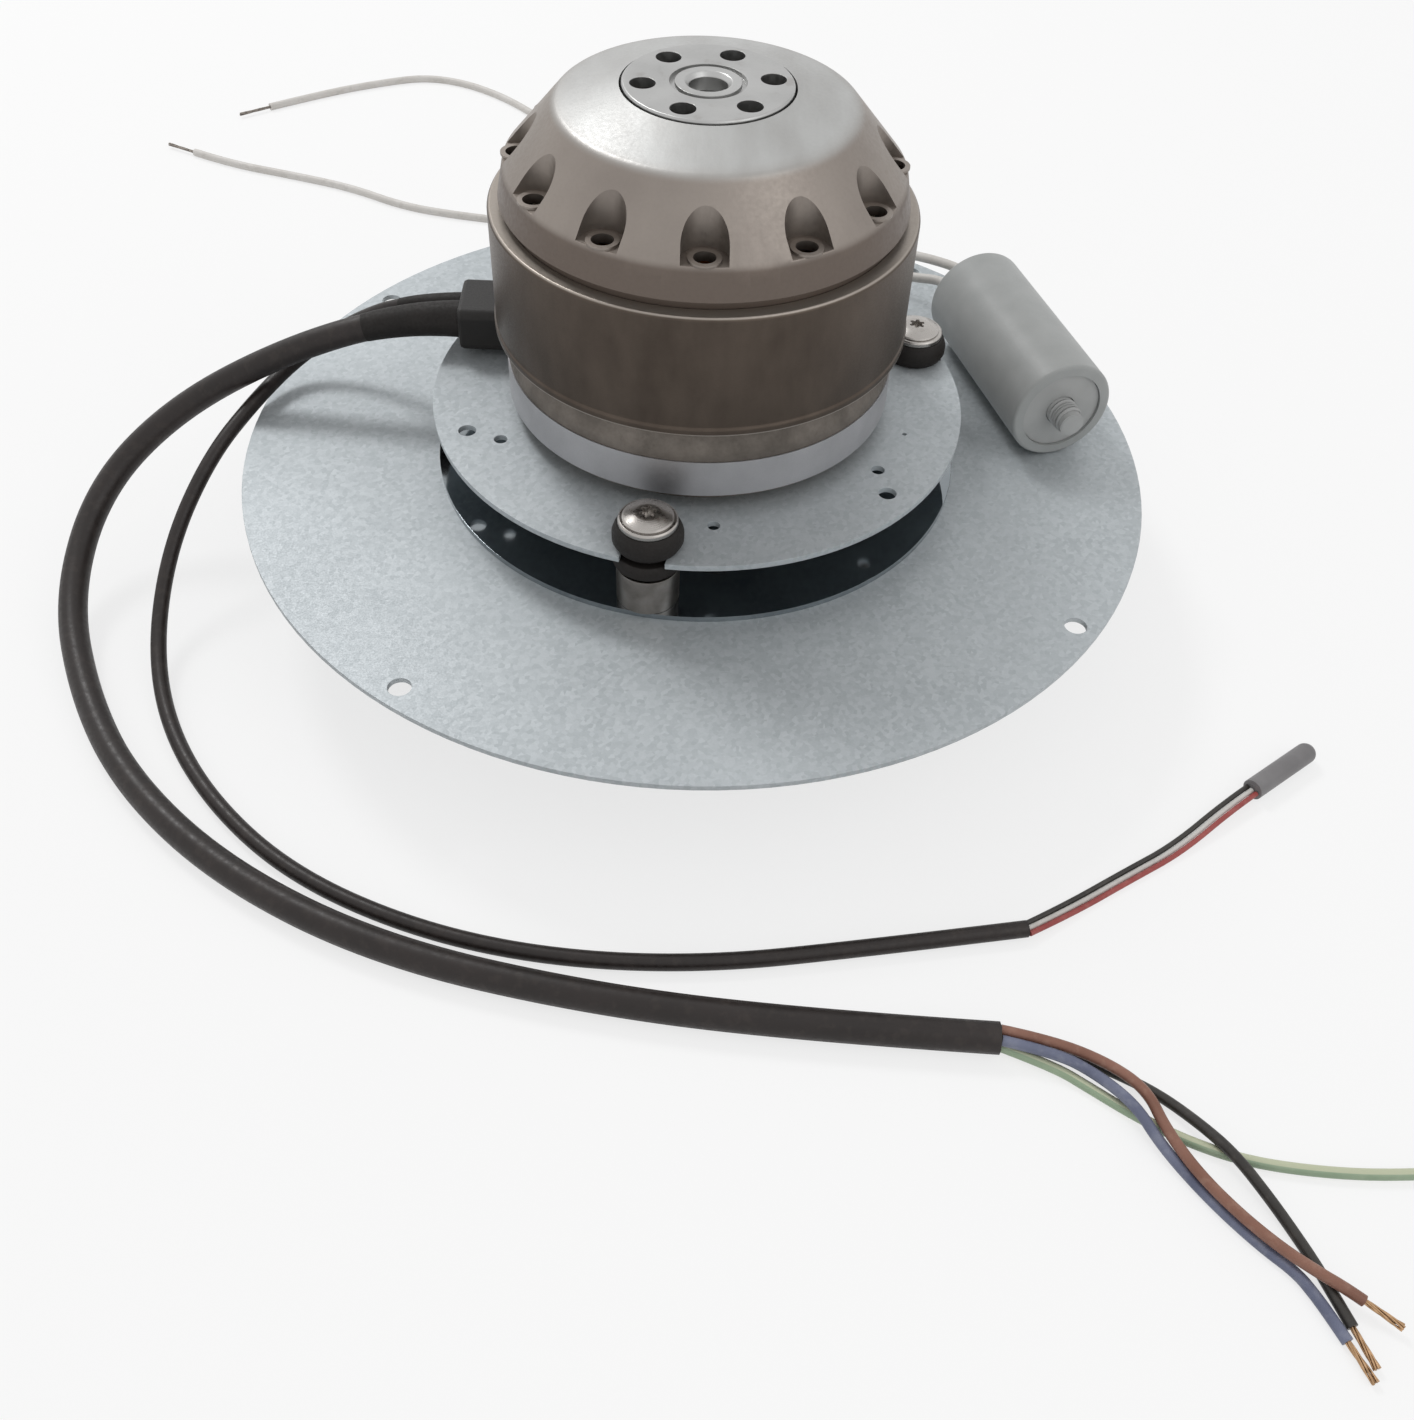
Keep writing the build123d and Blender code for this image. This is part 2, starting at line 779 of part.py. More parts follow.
def impeller_shroud():
    inner = inlet_diameter / 2
    return turned([
        (inner, ground),
        (inner + impeller_sheet, ground),
        (inner + impeller_sheet, shroud_bottom),
        (impeller_diameter / 2, shroud_bottom),
        (impeller_diameter / 2, shroud_top),
        (inner, shroud_top),
    ])


def impeller_hub():
    flange_bottom = backplate_bottom - impeller_hub_flange_height
    hub = disc(impeller_hub_flange_diameter, flange_bottom, backplate_bottom)
    hub = hub + disc(impeller_hub_diameter, impeller_hub_bottom, flange_bottom)
    hub = hub - disc(shaft_diameter + 2 * fit_gap, impeller_hub_bottom - 1, backplate_bottom + 1)
    rivet = disc(rivet_diameter + 2 * fit_gap, flange_bottom - 1, backplate_bottom + 1)
    return cut(hub, around(rivet, rivet_count, 45, rivet_circle))


def impeller_rivet():
    low = backplate_bottom - impeller_hub_flange_height
    rivet = disc(rivet_diameter, low, backplate_top)
    rivet = rivet + disc(rivet_head_diameter, backplate_top, backplate_top + rivet_head_height)
    return rivet + disc(rivet_head_diameter, low - rivet_head_height, low)


def shaft_washer():
    bore = shaft_thread_diameter + 2 * bore_gap
    return tube(shaft_washer_diameter, bore, shaft_washer_bottom, impeller_hub_bottom)


def shaft_nut():
    bore = shaft_thread_diameter + 2 * fit_gap
    return hexagon(shaft_nut_width, shaft_nut_bottom, shaft_washer_bottom, bore)


def at_capacitor(shape):
    # Shapes are drawn standing on the near end, with the far end up.
    height = plate_top + capacitor_diameter / 2 + capacitor_rest_gap
    lay = Rot(0, 0, capacitor_angle) * Rot(0, 90, 0)
    return Pos(capacitor_near_x, capacitor_near_y, height) * lay * shape


def capacitor_can():
    can = disc(capacitor_diameter, 0, capacitor_length)
    can = fillet(can.edges().filter_by(GeomType.CIRCLE), 1.0)
    lid_room = disc(capacitor_lid_diameter + 2 * fit_gap, -1, capacitor_lid_recess + capacitor_lid_thickness)
    can = can - lid_room
    for side in (-1, 1):
        way = disc(lead_diameter + 2 * fit_gap, capacitor_length - 6, capacitor_length + 1)
        can = can - Pos(0, side * lead_pitch / 2, 0) * way
    return at_capacitor(can)


def capacitor_lid():
    bottom = capacitor_lid_recess
    lid = disc(capacitor_lid_diameter, bottom, bottom + capacitor_lid_thickness)
    return at_capacitor(lid - disc(stud_diameter + 2 * fit_gap, 0, bottom + capacitor_lid_thickness + 1))


def capacitor_stud():
    stud = disc(stud_diameter, -stud_length, capacitor_lid_recess + capacitor_lid_thickness)
    stud = chamfer(stud.edges().group_by(Axis.Z)[0], stud_chamfer)
    collar = disc(stud_collar_diameter, capacitor_lid_recess - stud_collar_height, capacitor_lid_recess)
    return at_capacitor(stud + collar)


def corner_radii(route):
    # The largest arc that each corner's two straight runs leave room for.
    radii = []
    for before, corner, after in zip(route, route[1:], route[2:]):
        run_in = Vector(*corner) - Vector(*before)
        run_out = Vector(*after) - Vector(*corner)
        half_turn = math.radians(run_in.get_angle(run_out)) / 2
        radii.append(0.45 * min(run_in.length, run_out.length) / math.tan(half_turn))
    return radii


def cord(name, route, diameter):
    radii = corner_radii(route)
    path = FilletPolyline(*route, radius=radii)
    start = Plane(origin=path @ 0, z_dir=path % 0)
    solid = sweep(start * Circle(diameter / 2), path=path)
    section = math.pi * diameter ** 2 / 4
    print(name, "length", round(path.length, 1), "radii", [round(radius) for radius in radii],
          "volume / section x length", round(solid.volume / (section * path.length), 4))
    nodes[name] = solid


def bare_end(route, length, diameter):
    # The stripped conductor, in line with the last run of its insulation.
    tip = Vector(*route[-1])
    heading = (tip - Vector(*route[-2])).normalized()
    return Plane(origin=tip, z_dir=heading) * Pos(0, 0, length / 2) * Cylinder(diameter / 2, length)


# Heights of cords that lie on the surface the fan stands on
mains_z = ground + mains_diameter / 2
signal_z = ground + signal_diameter / 2
core_z = ground + core_diameter / 2
wire_z = ground + wire_diameter / 2
lead_z = ground + lead_diameter / 2
cap_z = ground + splice_cap_diameter / 2
gland_z = gland_bottom + gland_height / 2

mains_route = [
    (gland_outer_x, 17.5, gland_z),
    (-80, 17.5, gland_z),
    (-112, 14.5, 17),
    (-143, 7, 2),
    (-162, -11, -12),
    (-164.5, -41, -24),
    (-152, -72, mains_z),
    (-133, -100, mains_z),
    (-104, -125, mains_z),
    (-66, -144, mains_z),
    (-20, -154.5, mains_z),
    (26, -159.6, mains_z),
    (68.5, -161.5, mains_z),
]
signal_route = [
    (gland_outer_x, 25, gland_z),
    (-79, 25, gland_z),
    (-96, 30.5, 17),
    (-112, 26, 7.5),
    (-120.8, 8, 5),
    (-130, -10, -1),
    (-138, -30, -14),
    (-138.5, -54, -26),
    (-130.5, -78, signal_z),
    (-114, -102, signal_z),
    (-91, -122.5, signal_z),
    (-61.5, -136.5, signal_z),
    (-30, -143.6, signal_z),
    (5, -144.3, signal_z),
    (42, -138.7, signal_z),
    (78.8, -132.3, signal_z),
]



def sheath_exit(route, aside, up):
    # A point just past the end of a sheath, off its middle by aside and up.
    end = Vector(*route[-1])
    heading = (end - Vector(*route[-2])).normalized()
    across = Vector(-heading.Y, heading.X, 0)
    return tuple(end + heading * sheath_end_gap + across * aside + Vector(0, 0, up))


def core_start(side, level):
    return sheath_exit(mains_route, side * core_pitch / 2, level * core_pitch / 2)



brown_route = [
    core_start(1, 1),
    (80, -162.5, -28.4),
    (91, -167.3, -28.6),
    (98, -173, -28.9),
    (100.2, -181.5, -28.9),
    (104.6, -190.2, -29.2),
    (110.8, -198.5, -29.2),
    (118, -205.8, -29.2),
    (124.4, -210.6, -29.2),
    (128.4, -213.2, -29.2),
    (131.6, -215.4, -29.7),
]
black_route = [
    core_start(1, -1),
    (80, -162.3, -31.2),
    (91, -166.9, -31.6),
    (100.5, -172, -31.6),
    (107.5, -179, -30.4),
    (113.2, -186.5, -29.0),
    (118.8, -195.2, -30.5),
    (122.8, -202.3, core_z),
    (125.2, -208.2, core_z),
    (127.2, -214.4, core_z),
    (128.9, -219.6, core_z),
]
blue_route = [
    core_start(-1, 1),
    (80, -165.1, -28.6),
    (88, -169.6, -29.0),
    (95, -176.5, -28.9),
    (98.8, -183.9, -30.3),
    (104, -190.8, core_z),
    (109.6, -198.2, core_z),
    (115.6, -204.8, core_z),
    (120.8, -209.4, core_z),
    (123.3, -213.6, core_z),
    (125.4, -218.1, core_z),
    (127.2, -222.3, core_z),
]
earth_route = [
    core_start(-1, -1),
    (80, -166.9, -31.3),
    (87, -171.5, core_z),
    (96, -177.8, core_z),
    (105, -182.8, core_z),
    (116, -186.8, core_z),
    (130, -188.8, core_z),
    (146, -189.3, core_z),
    (160, -188.2, core_z),
]

# The splice cap lies on the ground and holds the far ends of the three wires
cap_start = (141.0, -89.5, cap_z)
cap_heading = Vector(0.797, 0.604, 0).normalized()
cap_across = Vector(-cap_heading.Y, cap_heading.X, 0)


def wire_route(side, bends):
    first = sheath_exit(signal_route, side * wire_pitch, 0)
    aside = cap_across * (side * wire_pitch)
    last = Vector(*cap_start) - cap_heading * sheath_end_gap + aside
    middle = [tuple(Vector(x, y, wire_z + 0.1) + aside) for x, y in bends]
    return [first] + middle + [tuple(last - cap_heading * 9), tuple(last)]


wire_bends = [(90, -125.6), (105, -115.9), (119, -107.2)]
sensor_red_route = wire_route(-1, wire_bends)
sensor_white_route = wire_route(0, wire_bends)
sensor_black_route = wire_route(1, wire_bends)

# The capacitor's two leads leave its far end, pass behind the motor and lie on the ground
far_turn = math.radians(capacitor_angle)
far_x = capacitor_near_x + capacitor_length * math.cos(far_turn)
far_y = capacitor_near_y + capacitor_length * math.sin(far_turn)
far_z = plate_top + capacitor_diameter / 2 + capacitor_rest_gap
side_x = -math.sin(far_turn) * lead_pitch / 2
side_y = math.cos(far_turn) * lead_pitch / 2


def lead_start(side, ahead):
    return (far_x + side * side_x + ahead * math.cos(far_turn),
            far_y + side * side_y + ahead * math.sin(far_turn), far_z)


long_lead_route = [
    lead_start(-1, 0),
    lead_start(-1, 10),
    (71, 77, 15.5),
    (53, 89, 12),
    (33, 114, 6),
    (15, 141, -8),
    (-6, 172, -23),
    (-30, 206, lead_z),
    (-55, 240, lead_z),
    (-77, 268, lead_z),
    (-99, 285, lead_z),
    (-119, 290.5, lead_z),
    (-137, 283.5, lead_z),
    (-158, 272, lead_z),
    (-178, 257.5, lead_z),
]
short_lead_route = [
    lead_start(1, 0),
    lead_start(1, 9),
    (62, 71, 13),
    (44, 80, 10),
    (22, 97, 7.5),
    (3, 121, 5),
    (-18, 143, -9),
    (-42, 161, -23),
    (-67, 173.5, lead_z),
    (-91, 177, lead_z),
    (-112, 182, lead_z),
    (-134, 194.5, lead_z),
    (-159, 202.5, lead_z),
    (-182, 209, lead_z),
    (-198, 217, lead_z),
]


def build_structure():
    nodes["mounting_plate"] = mounting_plate()
    nodes["heat_shield_disc"] = heat_shield_disc()
    nodes["motor_plate"] = motor_plate()
    for name, shape in (
        ("standoff_sleeves", standoff_sleeve()),
        ("damper_grommets", damper_grommet()),
        ("damper_cup_washers", damper_cup_washer()),
        ("damper_screws", damper_screw()),
        ("damper_nuts", damper_nut()),
    ):
        nodes[name] = group(around(shape, damper_count, damper_start, damper_circle))


def build_stator():
    nodes["stator_flange"] = stator_flange()
    nodes["label_band"] = label_band()
    nodes["cable_gland"] = cable_gland()
    screws = around(flange_screw(), flange_screw_count, flange_screw_start, flange_screw_circle)
    nodes["flange_screws"] = group(screws)
    nodes["bearing_tube"] = bearing_tube()
    nodes["bearing_preload_washer"] = preload_washer()
    seats = (lower_bearing_bottom, upper_bearing_bottom)
    nodes["bearing_outer_rings"] = group([bearing_outer_ring(z) for z in seats])
    nodes["bearing_balls"] = group([ball for z in seats for ball in bearing_balls(z)])
    nodes["stator_core"] = stator_core()
    lower = core_bottom - insulator_thickness
    nodes["winding_end_insulators"] = group([end_insulator(z) for z in (lower, core_top)])
    nodes["stator_winding"] = stator_winding()
    nodes["sensor_holder"] = sensor_holder()
    nodes["speed_sensor_board"] = speed_sensor_board()


def build_rotor():
    nodes["rotor_can"] = rotor_can()
    nodes["rotor_core"] = rotor_core()
    nodes["rotor_end_ring"] = rotor_end_ring()
    nodes["sensor_magnet_ring"] = sensor_magnet_ring()
    nodes["rotor_dome"] = rotor_dome()
    nodes["hub_disc"] = hub_disc()
    nodes["rotor_shaft"] = rotor_shaft()
    seats = (lower_bearing_bottom, upper_bearing_bottom)
    nodes["bearing_inner_rings"] = group([bearing_inner_ring(z) for z in seats])
    nodes["spacer_sleeve"] = spacer_sleeve()
    nodes["impeller_backplate"] = impeller_backplate()
    nodes["impeller_blades"] = group(around(impeller_blade(), blade_count, 0))
    nodes["impeller_shroud"] = impeller_shroud()
    nodes["impeller_hub"] = impeller_hub()
    nodes["impeller_rivets"] = group(around(impeller_rivet(), rivet_count, 45, rivet_circle))
    nodes["shaft_washer"] = shaft_washer()
    nodes["shaft_nut"] = shaft_nut()


def build_capacitor():
    nodes["capacitor_can"] = capacitor_can()
    nodes["capacitor_lid"] = capacitor_lid()
    nodes["capacitor_stud"] = capacitor_stud()
    cord("capacitor_lead_long", long_lead_route, lead_diameter)
    cord("capacitor_lead_short", short_lead_route, lead_diameter)
    nodes["capacitor_lead_bare_ends"] = group([
        bare_end(route, lead_bare_length, lead_bare_diameter)
        for route in (long_lead_route, short_lead_route)
    ])


def build_cables():
    cord("mains_cable", mains_route, mains_diameter)
    cores = {
        "brown_core": brown_route,
        "black_core": black_route,
        "blue_core": blue_route,
        "earth_core": earth_route,
    }
    for name, route in cores.items():
        cord(name, route, core_diameter)
    nodes["core_bare_ends"] = group([
        bare_end(route, core_bare_length, core_bare_diameter) for route in cores.values()
    ])
    cord("signal_cable", signal_route, signal_diameter)
    cord("sensor_wire_red", sensor_red_route, wire_diameter)
    cord("sensor_wire_white", sensor_white_route, wire_diameter)
    cord("sensor_wire_black", sensor_black_route, wire_diameter)
    cap = Cylinder(splice_cap_diameter / 2, splice_cap_length, align=(Align.CENTER, Align.CENTER, Align.MIN))
    cap = fillet(cap.edges().group_by(Axis.Z)[-1], splice_cap_tip)
    nodes["splice_cap"] = Plane(origin=cap_start, z_dir=cap_heading) * cap


build_structure()
build_stator()
build_rotor()
build_capacitor()
build_cables()

os.makedirs("parts", exist_ok=True)
for name, shape in nodes.items():
    export_step(shape, f"parts/{name}.step")
print(len(nodes), "nodes")
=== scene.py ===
import json
import math
import random

import bpy
from mathutils import Matrix, Vector

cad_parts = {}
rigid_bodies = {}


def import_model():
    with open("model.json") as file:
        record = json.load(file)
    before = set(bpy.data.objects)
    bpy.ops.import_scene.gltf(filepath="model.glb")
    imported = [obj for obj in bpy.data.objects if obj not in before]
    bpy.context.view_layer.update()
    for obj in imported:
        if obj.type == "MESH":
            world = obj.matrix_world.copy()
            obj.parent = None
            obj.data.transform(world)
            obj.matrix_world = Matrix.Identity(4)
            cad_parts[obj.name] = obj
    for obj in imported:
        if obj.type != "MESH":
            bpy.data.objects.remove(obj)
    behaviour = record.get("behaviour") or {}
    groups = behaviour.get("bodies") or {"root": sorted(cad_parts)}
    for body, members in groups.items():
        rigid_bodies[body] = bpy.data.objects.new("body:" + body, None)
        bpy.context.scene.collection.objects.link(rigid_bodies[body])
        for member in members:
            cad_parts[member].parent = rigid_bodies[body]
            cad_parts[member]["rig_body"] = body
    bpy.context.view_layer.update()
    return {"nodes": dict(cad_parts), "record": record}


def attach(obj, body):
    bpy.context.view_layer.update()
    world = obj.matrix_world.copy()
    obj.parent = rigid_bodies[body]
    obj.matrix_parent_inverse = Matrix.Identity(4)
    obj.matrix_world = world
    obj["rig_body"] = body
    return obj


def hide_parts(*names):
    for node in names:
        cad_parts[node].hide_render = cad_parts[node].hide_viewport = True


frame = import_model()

# Exhaust fan of a pellet stove. Lengths are in metres here, and mm turns a
# length in millimetres into one. The shaft runs along Z, the camera is at -Y.
mm = 0.001
nodes = frame["nodes"]
ground = -33.0
damper_radius = 62.0
random.seed(7)


# ---------------------------------------------------------------- camera

image_width = 1414
image_height = 1420
sensor_size = 36.0
focal_pixels = 1438.17
camera_place = (0.0, -317.47, 242.27)
camera_right = (0.99920, 0.00709, 0.03925)
camera_up = (-0.03170, 0.73836, 0.67366)
camera_forward = (0.02420, 0.67437, -0.73799)
axis_pixel = (723.42, 710.32)

camera_data = bpy.data.cameras.new("camera")
camera = bpy.data.objects.new("camera", camera_data)
bpy.context.scene.collection.objects.link(camera)
camera_data.sensor_width = sensor_size
camera_data.lens = focal_pixels * sensor_size / image_height
camera_data.shift_x = (image_width / 2 - axis_pixel[0]) / image_height
camera_data.shift_y = (axis_pixel[1] - image_height / 2) / image_height
camera_data.clip_start = 0.01
backward = [-part for part in camera_forward]
turn = Matrix((camera_right, camera_up, backward)).transposed()
camera.matrix_world = Matrix.Translation(Vector(camera_place) * mm) @ turn.to_4x4()
bpy.context.scene.camera = camera


# ---------------------------------------------------------------- helpers

def linear(hex_colour):
    # An sRGB hex colour as the linear one that a shader takes.
    channels = [int(hex_colour[i:i + 2], 16) / 255 for i in (1, 3, 5)]
    return [c / 12.92 if c <= 0.04045 else ((c + 0.055) / 1.055) ** 2.4 for c in channels] + [1.0]


def add(tree, kind, inputs=None, **settings):
    # Adds a shader node, with its settings, its values and its links.
    made = tree.nodes.new("ShaderNode" + kind)
    for name, value in settings.items():
        setattr(made, name, value)
    for socket, value in (inputs or {}).items():
        if isinstance(value, bpy.types.NodeSocket):
            tree.links.new(value, made.inputs[socket])
        else:
            made.inputs[socket].default_value = value
    return made


def start_finish(name, **shader_values):
    # A new material: its tree, its shader and its place in the piece, in metres.
    material = bpy.data.materials.new(name)
    material.use_nodes = True
    tree = material.node_tree
    shader = tree.nodes["Principled BSDF"]
    for socket, value in shader_values.items():
        shader.inputs[socket.replace("_", " ")].default_value = value
    place = add(tree, "TexCoord").outputs["Object"]
    return material, tree, shader, place


def deselect():
    if bpy.context.mode != "OBJECT":
        bpy.ops.object.mode_set(mode="OBJECT")
    bpy.ops.object.select_all(action="DESELECT")


def activate(piece):
    deselect()
    piece.select_set(True)
    bpy.context.view_layer.objects.active = piece


def settle(piece, name, body, material, replaced=()):
    # Puts a finished piece at the origin and ties it to its body and its finish.
    activate(piece)
    piece.name = name
    piece.data.name = name
    bpy.ops.object.transform_apply(location=True, rotation=True, scale=True)
    piece.data.materials.clear()
    piece.data.materials.append(material)
    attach(piece, body)
    if replaced:
        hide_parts(*replaced)
    deselect()
    return piece


# ---------------------------------------------------------------- finishes

def mottled(tree, place, size, low, high, spread=0.3, stretch=(1, 1, 1), detail=4.0):
    # Drifts between two colours in patches of a size. Gives the share and the colour.
    stretched = add(tree, "Mapping", {"Vector": place, "Scale": stretch})
    patches = add(tree, "TexNoise", {"Vector": stretched.outputs[0], "Scale": 1 / size, "Detail": detail})
    share = add(tree, "MapRange", {"Value": patches.outputs["Fac"], "From Min": 0.5 - spread / 2,
                                   "From Max": 0.5 + spread / 2})
    colour = add(tree, "Mix", {0: share.outputs[0], 6: low, 7: high}, data_type="RGBA")
    return share.outputs[0], colour.outputs[2]


def grained(tree, shader, place, size, height, smooth, rough, stretch=(1, 1, 1)):
    # The fine grain of a skin: its bump, and a roughness that goes with it.
    stretched = add(tree, "Mapping", {"Vector": place, "Scale": stretch})
    fine = add(tree, "TexNoise", {"Vector": stretched.outputs[0], "Scale": 1 / size, "Detail": 3.0})
    gloss = add(tree, "MapRange", {"Value": fine.outputs["Fac"], "From Min": 0.3, "From Max": 0.7,
                                   "To Min": smooth, "To Max": rough})
    bump = add(tree, "Bump", {"Height": fine.outputs["Fac"], "Strength": 1.0, "Distance": height})
    tree.links.new(gloss.outputs[0], shader.inputs["Roughness"])
    tree.links.new(bump.outputs[0], shader.inputs["Normal"])
    return fine.outputs["Fac"], bump


def between(tree, place, low, high, soft):
    # 1 where the height lies between two levels, 0 outside them.
    height = add(tree, "SeparateXYZ", {0: place}).outputs["Z"]
    above = add(tree, "MapRange", {"Value": height, "From Min": low - soft, "From Max": low + soft},
                interpolation_type="SMOOTHSTEP")
    below = add(tree, "MapRange", {"Value": height, "From Min": high + soft, "From Max": high - soft},
                interpolation_type="SMOOTHSTEP")
    return add(tree, "Math", {0: above.outputs[0], 1: below.outputs[0]}, operation="MULTIPLY").outputs[0]


def radius_from(tree, place, centres=((0, 0),)):
    # The distance from the nearest of some upright axes.
    flat = add(tree, "Mapping", {"Vector": place, "Scale": (1, 1, 0)})
    nearest = None
    for x, y in centres:
        away = add(tree, "VectorMath", {0: flat.outputs[0], 1: (x * mm, y * mm, 0)}, operation="DISTANCE")
        away = away.outputs["Value"]
        if nearest is not None:
            away = add(tree, "Math", {0: nearest, 1: away}, operation="MINIMUM").outputs[0]
        nearest = away
    return nearest


def rings(tree, place, pitch, centres=((0, 0),)):
    # Turning marks: a wave of the distance from the axis it was turned on.
    radius = radius_from(tree, place, centres)
    phase = add(tree, "Math", {0: radius, 1: 2 * math.pi / pitch}, operation="MULTIPLY")
    return add(tree, "Math", {0: phase.outputs[0]}, operation="SINE").outputs[0]


def tint(tree, share, under, over):
    return add(tree, "Mix", {0: share, 6: under, 7: over}, data_type="RGBA").outputs[2]


def colour_of(tree, shader, colour):
    tree.links.new(colour, shader.inputs["Base Color"])


def galvanised_sheet():
    # Zinc-coated sheet: pale and nearly matt, with small crystals of uneven brightness.
    # The crystals are drawn at 1.1 mm, coarser than the real ones, so that they still show.
    material, tree, shader, place = start_finish("galvanised_sheet", Metallic=0.55)
    crystals = add(tree, "TexVoronoi", {"Vector": place, "Scale": 1 / (1.1 * mm), "Randomness": 1.0})
    facets = add(tree, "RGBToBW", {0: crystals.outputs["Color"]}).outputs[0]
    cloud, tone = mottled(tree, place, 60 * mm, linear("#A3A9AC"), linear("#B0B6B9"), 0.4)
    fleck = add(tree, "MapRange", {"Value": facets, "To Min": 0.0, "To Max": 0.55}).outputs[0]
    grained(tree, shader, place, 0.5 * mm, 0.02 * mm, 0.5, 0.66)
    colour_of(tree, shader, tint(tree, fleck, tone, linear("#CBD0D3")))
    return material


def mirror_sheet():
    # Polished stainless sheet: a mirror with a faint haze of fingerprints, its colour darkened as painted
    # reflection of dark surroundings.
    material, tree, shader, place = start_finish("mirror_polished_sheet", Metallic=1.0)
    # Painted reflection: the grey tones are darker than bare stainless, standing in for the dark underside and
    # surroundings that the mirror shows.
    haze, tone = mottled(tree, place, 18 * mm, linear("#83898D"), linear("#92989B"), 0.3)
    gloss = add(tree, "MapRange", {"Value": haze, "To Min": 0.03, "To Max": 0.12})
    tree.links.new(gloss.outputs[0], shader.inputs["Roughness"])
    colour_of(tree, shader, tone)
    return material


def turned_metal(name, dark, light, pitch, smooth, rough, stain="#7C756F", centres=((0, 0),)):
    # Metal cut on a lathe: fine rings round its axis, and a few dull stains.
    material, tree, shader, place = start_finish(name, Metallic=1.0)
    patches, tone = mottled(tree, place, 12 * mm, linear(dark), linear(light), 0.6, detail=2.0)
    fine, bump = grained(tree, shader, place, 1.2 * mm, 0.004 * mm, smooth, rough)
    marks = add(tree, "Bump", {"Height": rings(tree, place, pitch, centres), "Strength": 0.25,
                               "Distance": 0.012 * mm, "Normal": bump.outputs[0]})
    tree.links.new(marks.outputs[0], shader.inputs["Normal"])
    dull, spots = mottled(tree, place, 4 * mm, linear("#000000"), linear("#FFFFFF"), 0.5)
    few = add(tree, "MapRange", {"Value": dull, "From Min": 0.7, "From Max": 1.0, "To Max": 0.3})
    colour_of(tree, shader, tint(tree, few.outputs[0], tone, linear(stain)))
    return material


def cast_dome():
    # Die-cast aluminium, tinted brown by heat on its cone and left paler where its top was turned; the side band
    # and the groove below it get a darker brown as painted shade.
    material, tree, shader, place = start_finish("die_cast_aluminium", Metallic=0.85)
    patches, cone = mottled(tree, place, 22 * mm, linear("#7F7771"), linear("#958D86"), 0.7, detail=2.0)
    streaks, top = mottled(tree, place, 7 * mm, linear("#A09F9D"), linear("#B9BAB9"), 0.8, (1, 0.3, 1))
    wiped, wiped_tone = mottled(tree, place, 9 * mm, linear("#000000"), linear("#FFFFFF"), 0.8, (0.4, 1, 0.7))
    fine, bump = grained(tree, shader, place, 0.9 * mm, 0.02 * mm, 0.38, 0.5)
    face = between(tree, place, 96.4 * mm, 120 * mm, 1.2 * mm)
    # Painted shade: the side band and the groove under the cone are made darker and browner.
    shaded_band = between(tree, place, 60 * mm, 82.3 * mm, 0.9 * mm)
    faint = add(tree, "Math", {0: wiped, 1: 0.3}, operation="MULTIPLY").outputs[0]
    dusty = tint(tree, faint, cone, linear("#A29A92"))
    band_painted_shade = tint(tree, shaded_band, dusty, linear("#6B615A"))
    colour_of(tree, shader, tint(tree, face, band_painted_shade, top))
    return material


def heat_tinted_can():
    # Drawn steel, tinted brown by heat: a dark cloudy skin, with its turned rims painted as thin bright lines that
    # are partly painted highlight.
    material, tree, shader, place = start_finish("heat_tinted_steel", Metallic=0.85)
    patches, side = mottled(tree, place, 17 * mm, linear("#3B332D"), linear("#5B5149"), 0.7, (1, 1, 0.8))
    runs, run_tone = mottled(tree, place, 5 * mm, linear("#000000"), linear("#FFFFFF"), 0.6, (1, 1, 0.35))
    fine, bump = grained(tree, shader, place, 0.7 * mm, 0.02 * mm, 0.34, 0.48, (1, 1, 3))
    faint = add(tree, "Math", {0: runs, 1: 0.3}, operation="MULTIPLY").outputs[0]
    streaked = tint(tree, faint, side, linear("#6E6359"))
    # Painted highlight: thin bright lines at the bottom and top rims, laid over metal that was turned there.
    lower_rim_highlight = between(tree, place, 30 * mm, 43.25 * mm, 0.15 * mm)
    upper_rim_highlight = between(tree, place, 72.8 * mm, 90 * mm, 0.15 * mm)
    turned_rims_and_highlight = add(tree, "Math", {0: lower_rim_highlight, 1: upper_rim_highlight}, operation="ADD").outputs[0]
    colour_of(tree, shader, tint(tree, turned_rims_and_highlight, streaked, linear("#9B938B")))
    return material


def dull_casting(name, dark, light):
    # Cast aluminium as it left the mould: grey-brown, slightly pitted.
    material, tree, shader, place = start_finish(name, Metallic=0.7)
    patches, tone = mottled(tree, place, 8 * mm, linear(dark), linear(light), 0.4)
    grained(tree, shader, place, 0.9 * mm, 0.06 * mm, 0.45, 0.62)
    colour_of(tree, shader, tone)
    return material


def plated(name, dark, light, smooth, rough, size=5 * mm):
    # Plated or drawn steel: satin, with a slow change of tone.
    material, tree, shader, place = start_finish(name, Metallic=1.0)
    patches, tone = mottled(tree, place, size, linear(dark), linear(light), 0.4)
    grained(tree, shader, place, 0.4 * mm, 0.012 * mm, smooth, rough)
    colour_of(tree, shader, tone)
    return material


def moulded(name, dark, light, smooth, rough, grain=0.5 * mm, height=0.02 * mm, sheen=0.5):
    # Moulded plastic or rubber: one colour that drifts a little, and the mould's texture.
    # Old rubber and nylon hold dust that dulls them, so a low sheen halves the shine.
    material, tree, shader, place = start_finish(name, IOR=1.5, Specular_IOR_Level=sheen)
    patches, tone = mottled(tree, place, 7 * mm, linear(dark), linear(light), 0.5)
    grained(tree, shader, place, grain, height, smooth, rough)
    colour_of(tree, shader, tone)
    return material


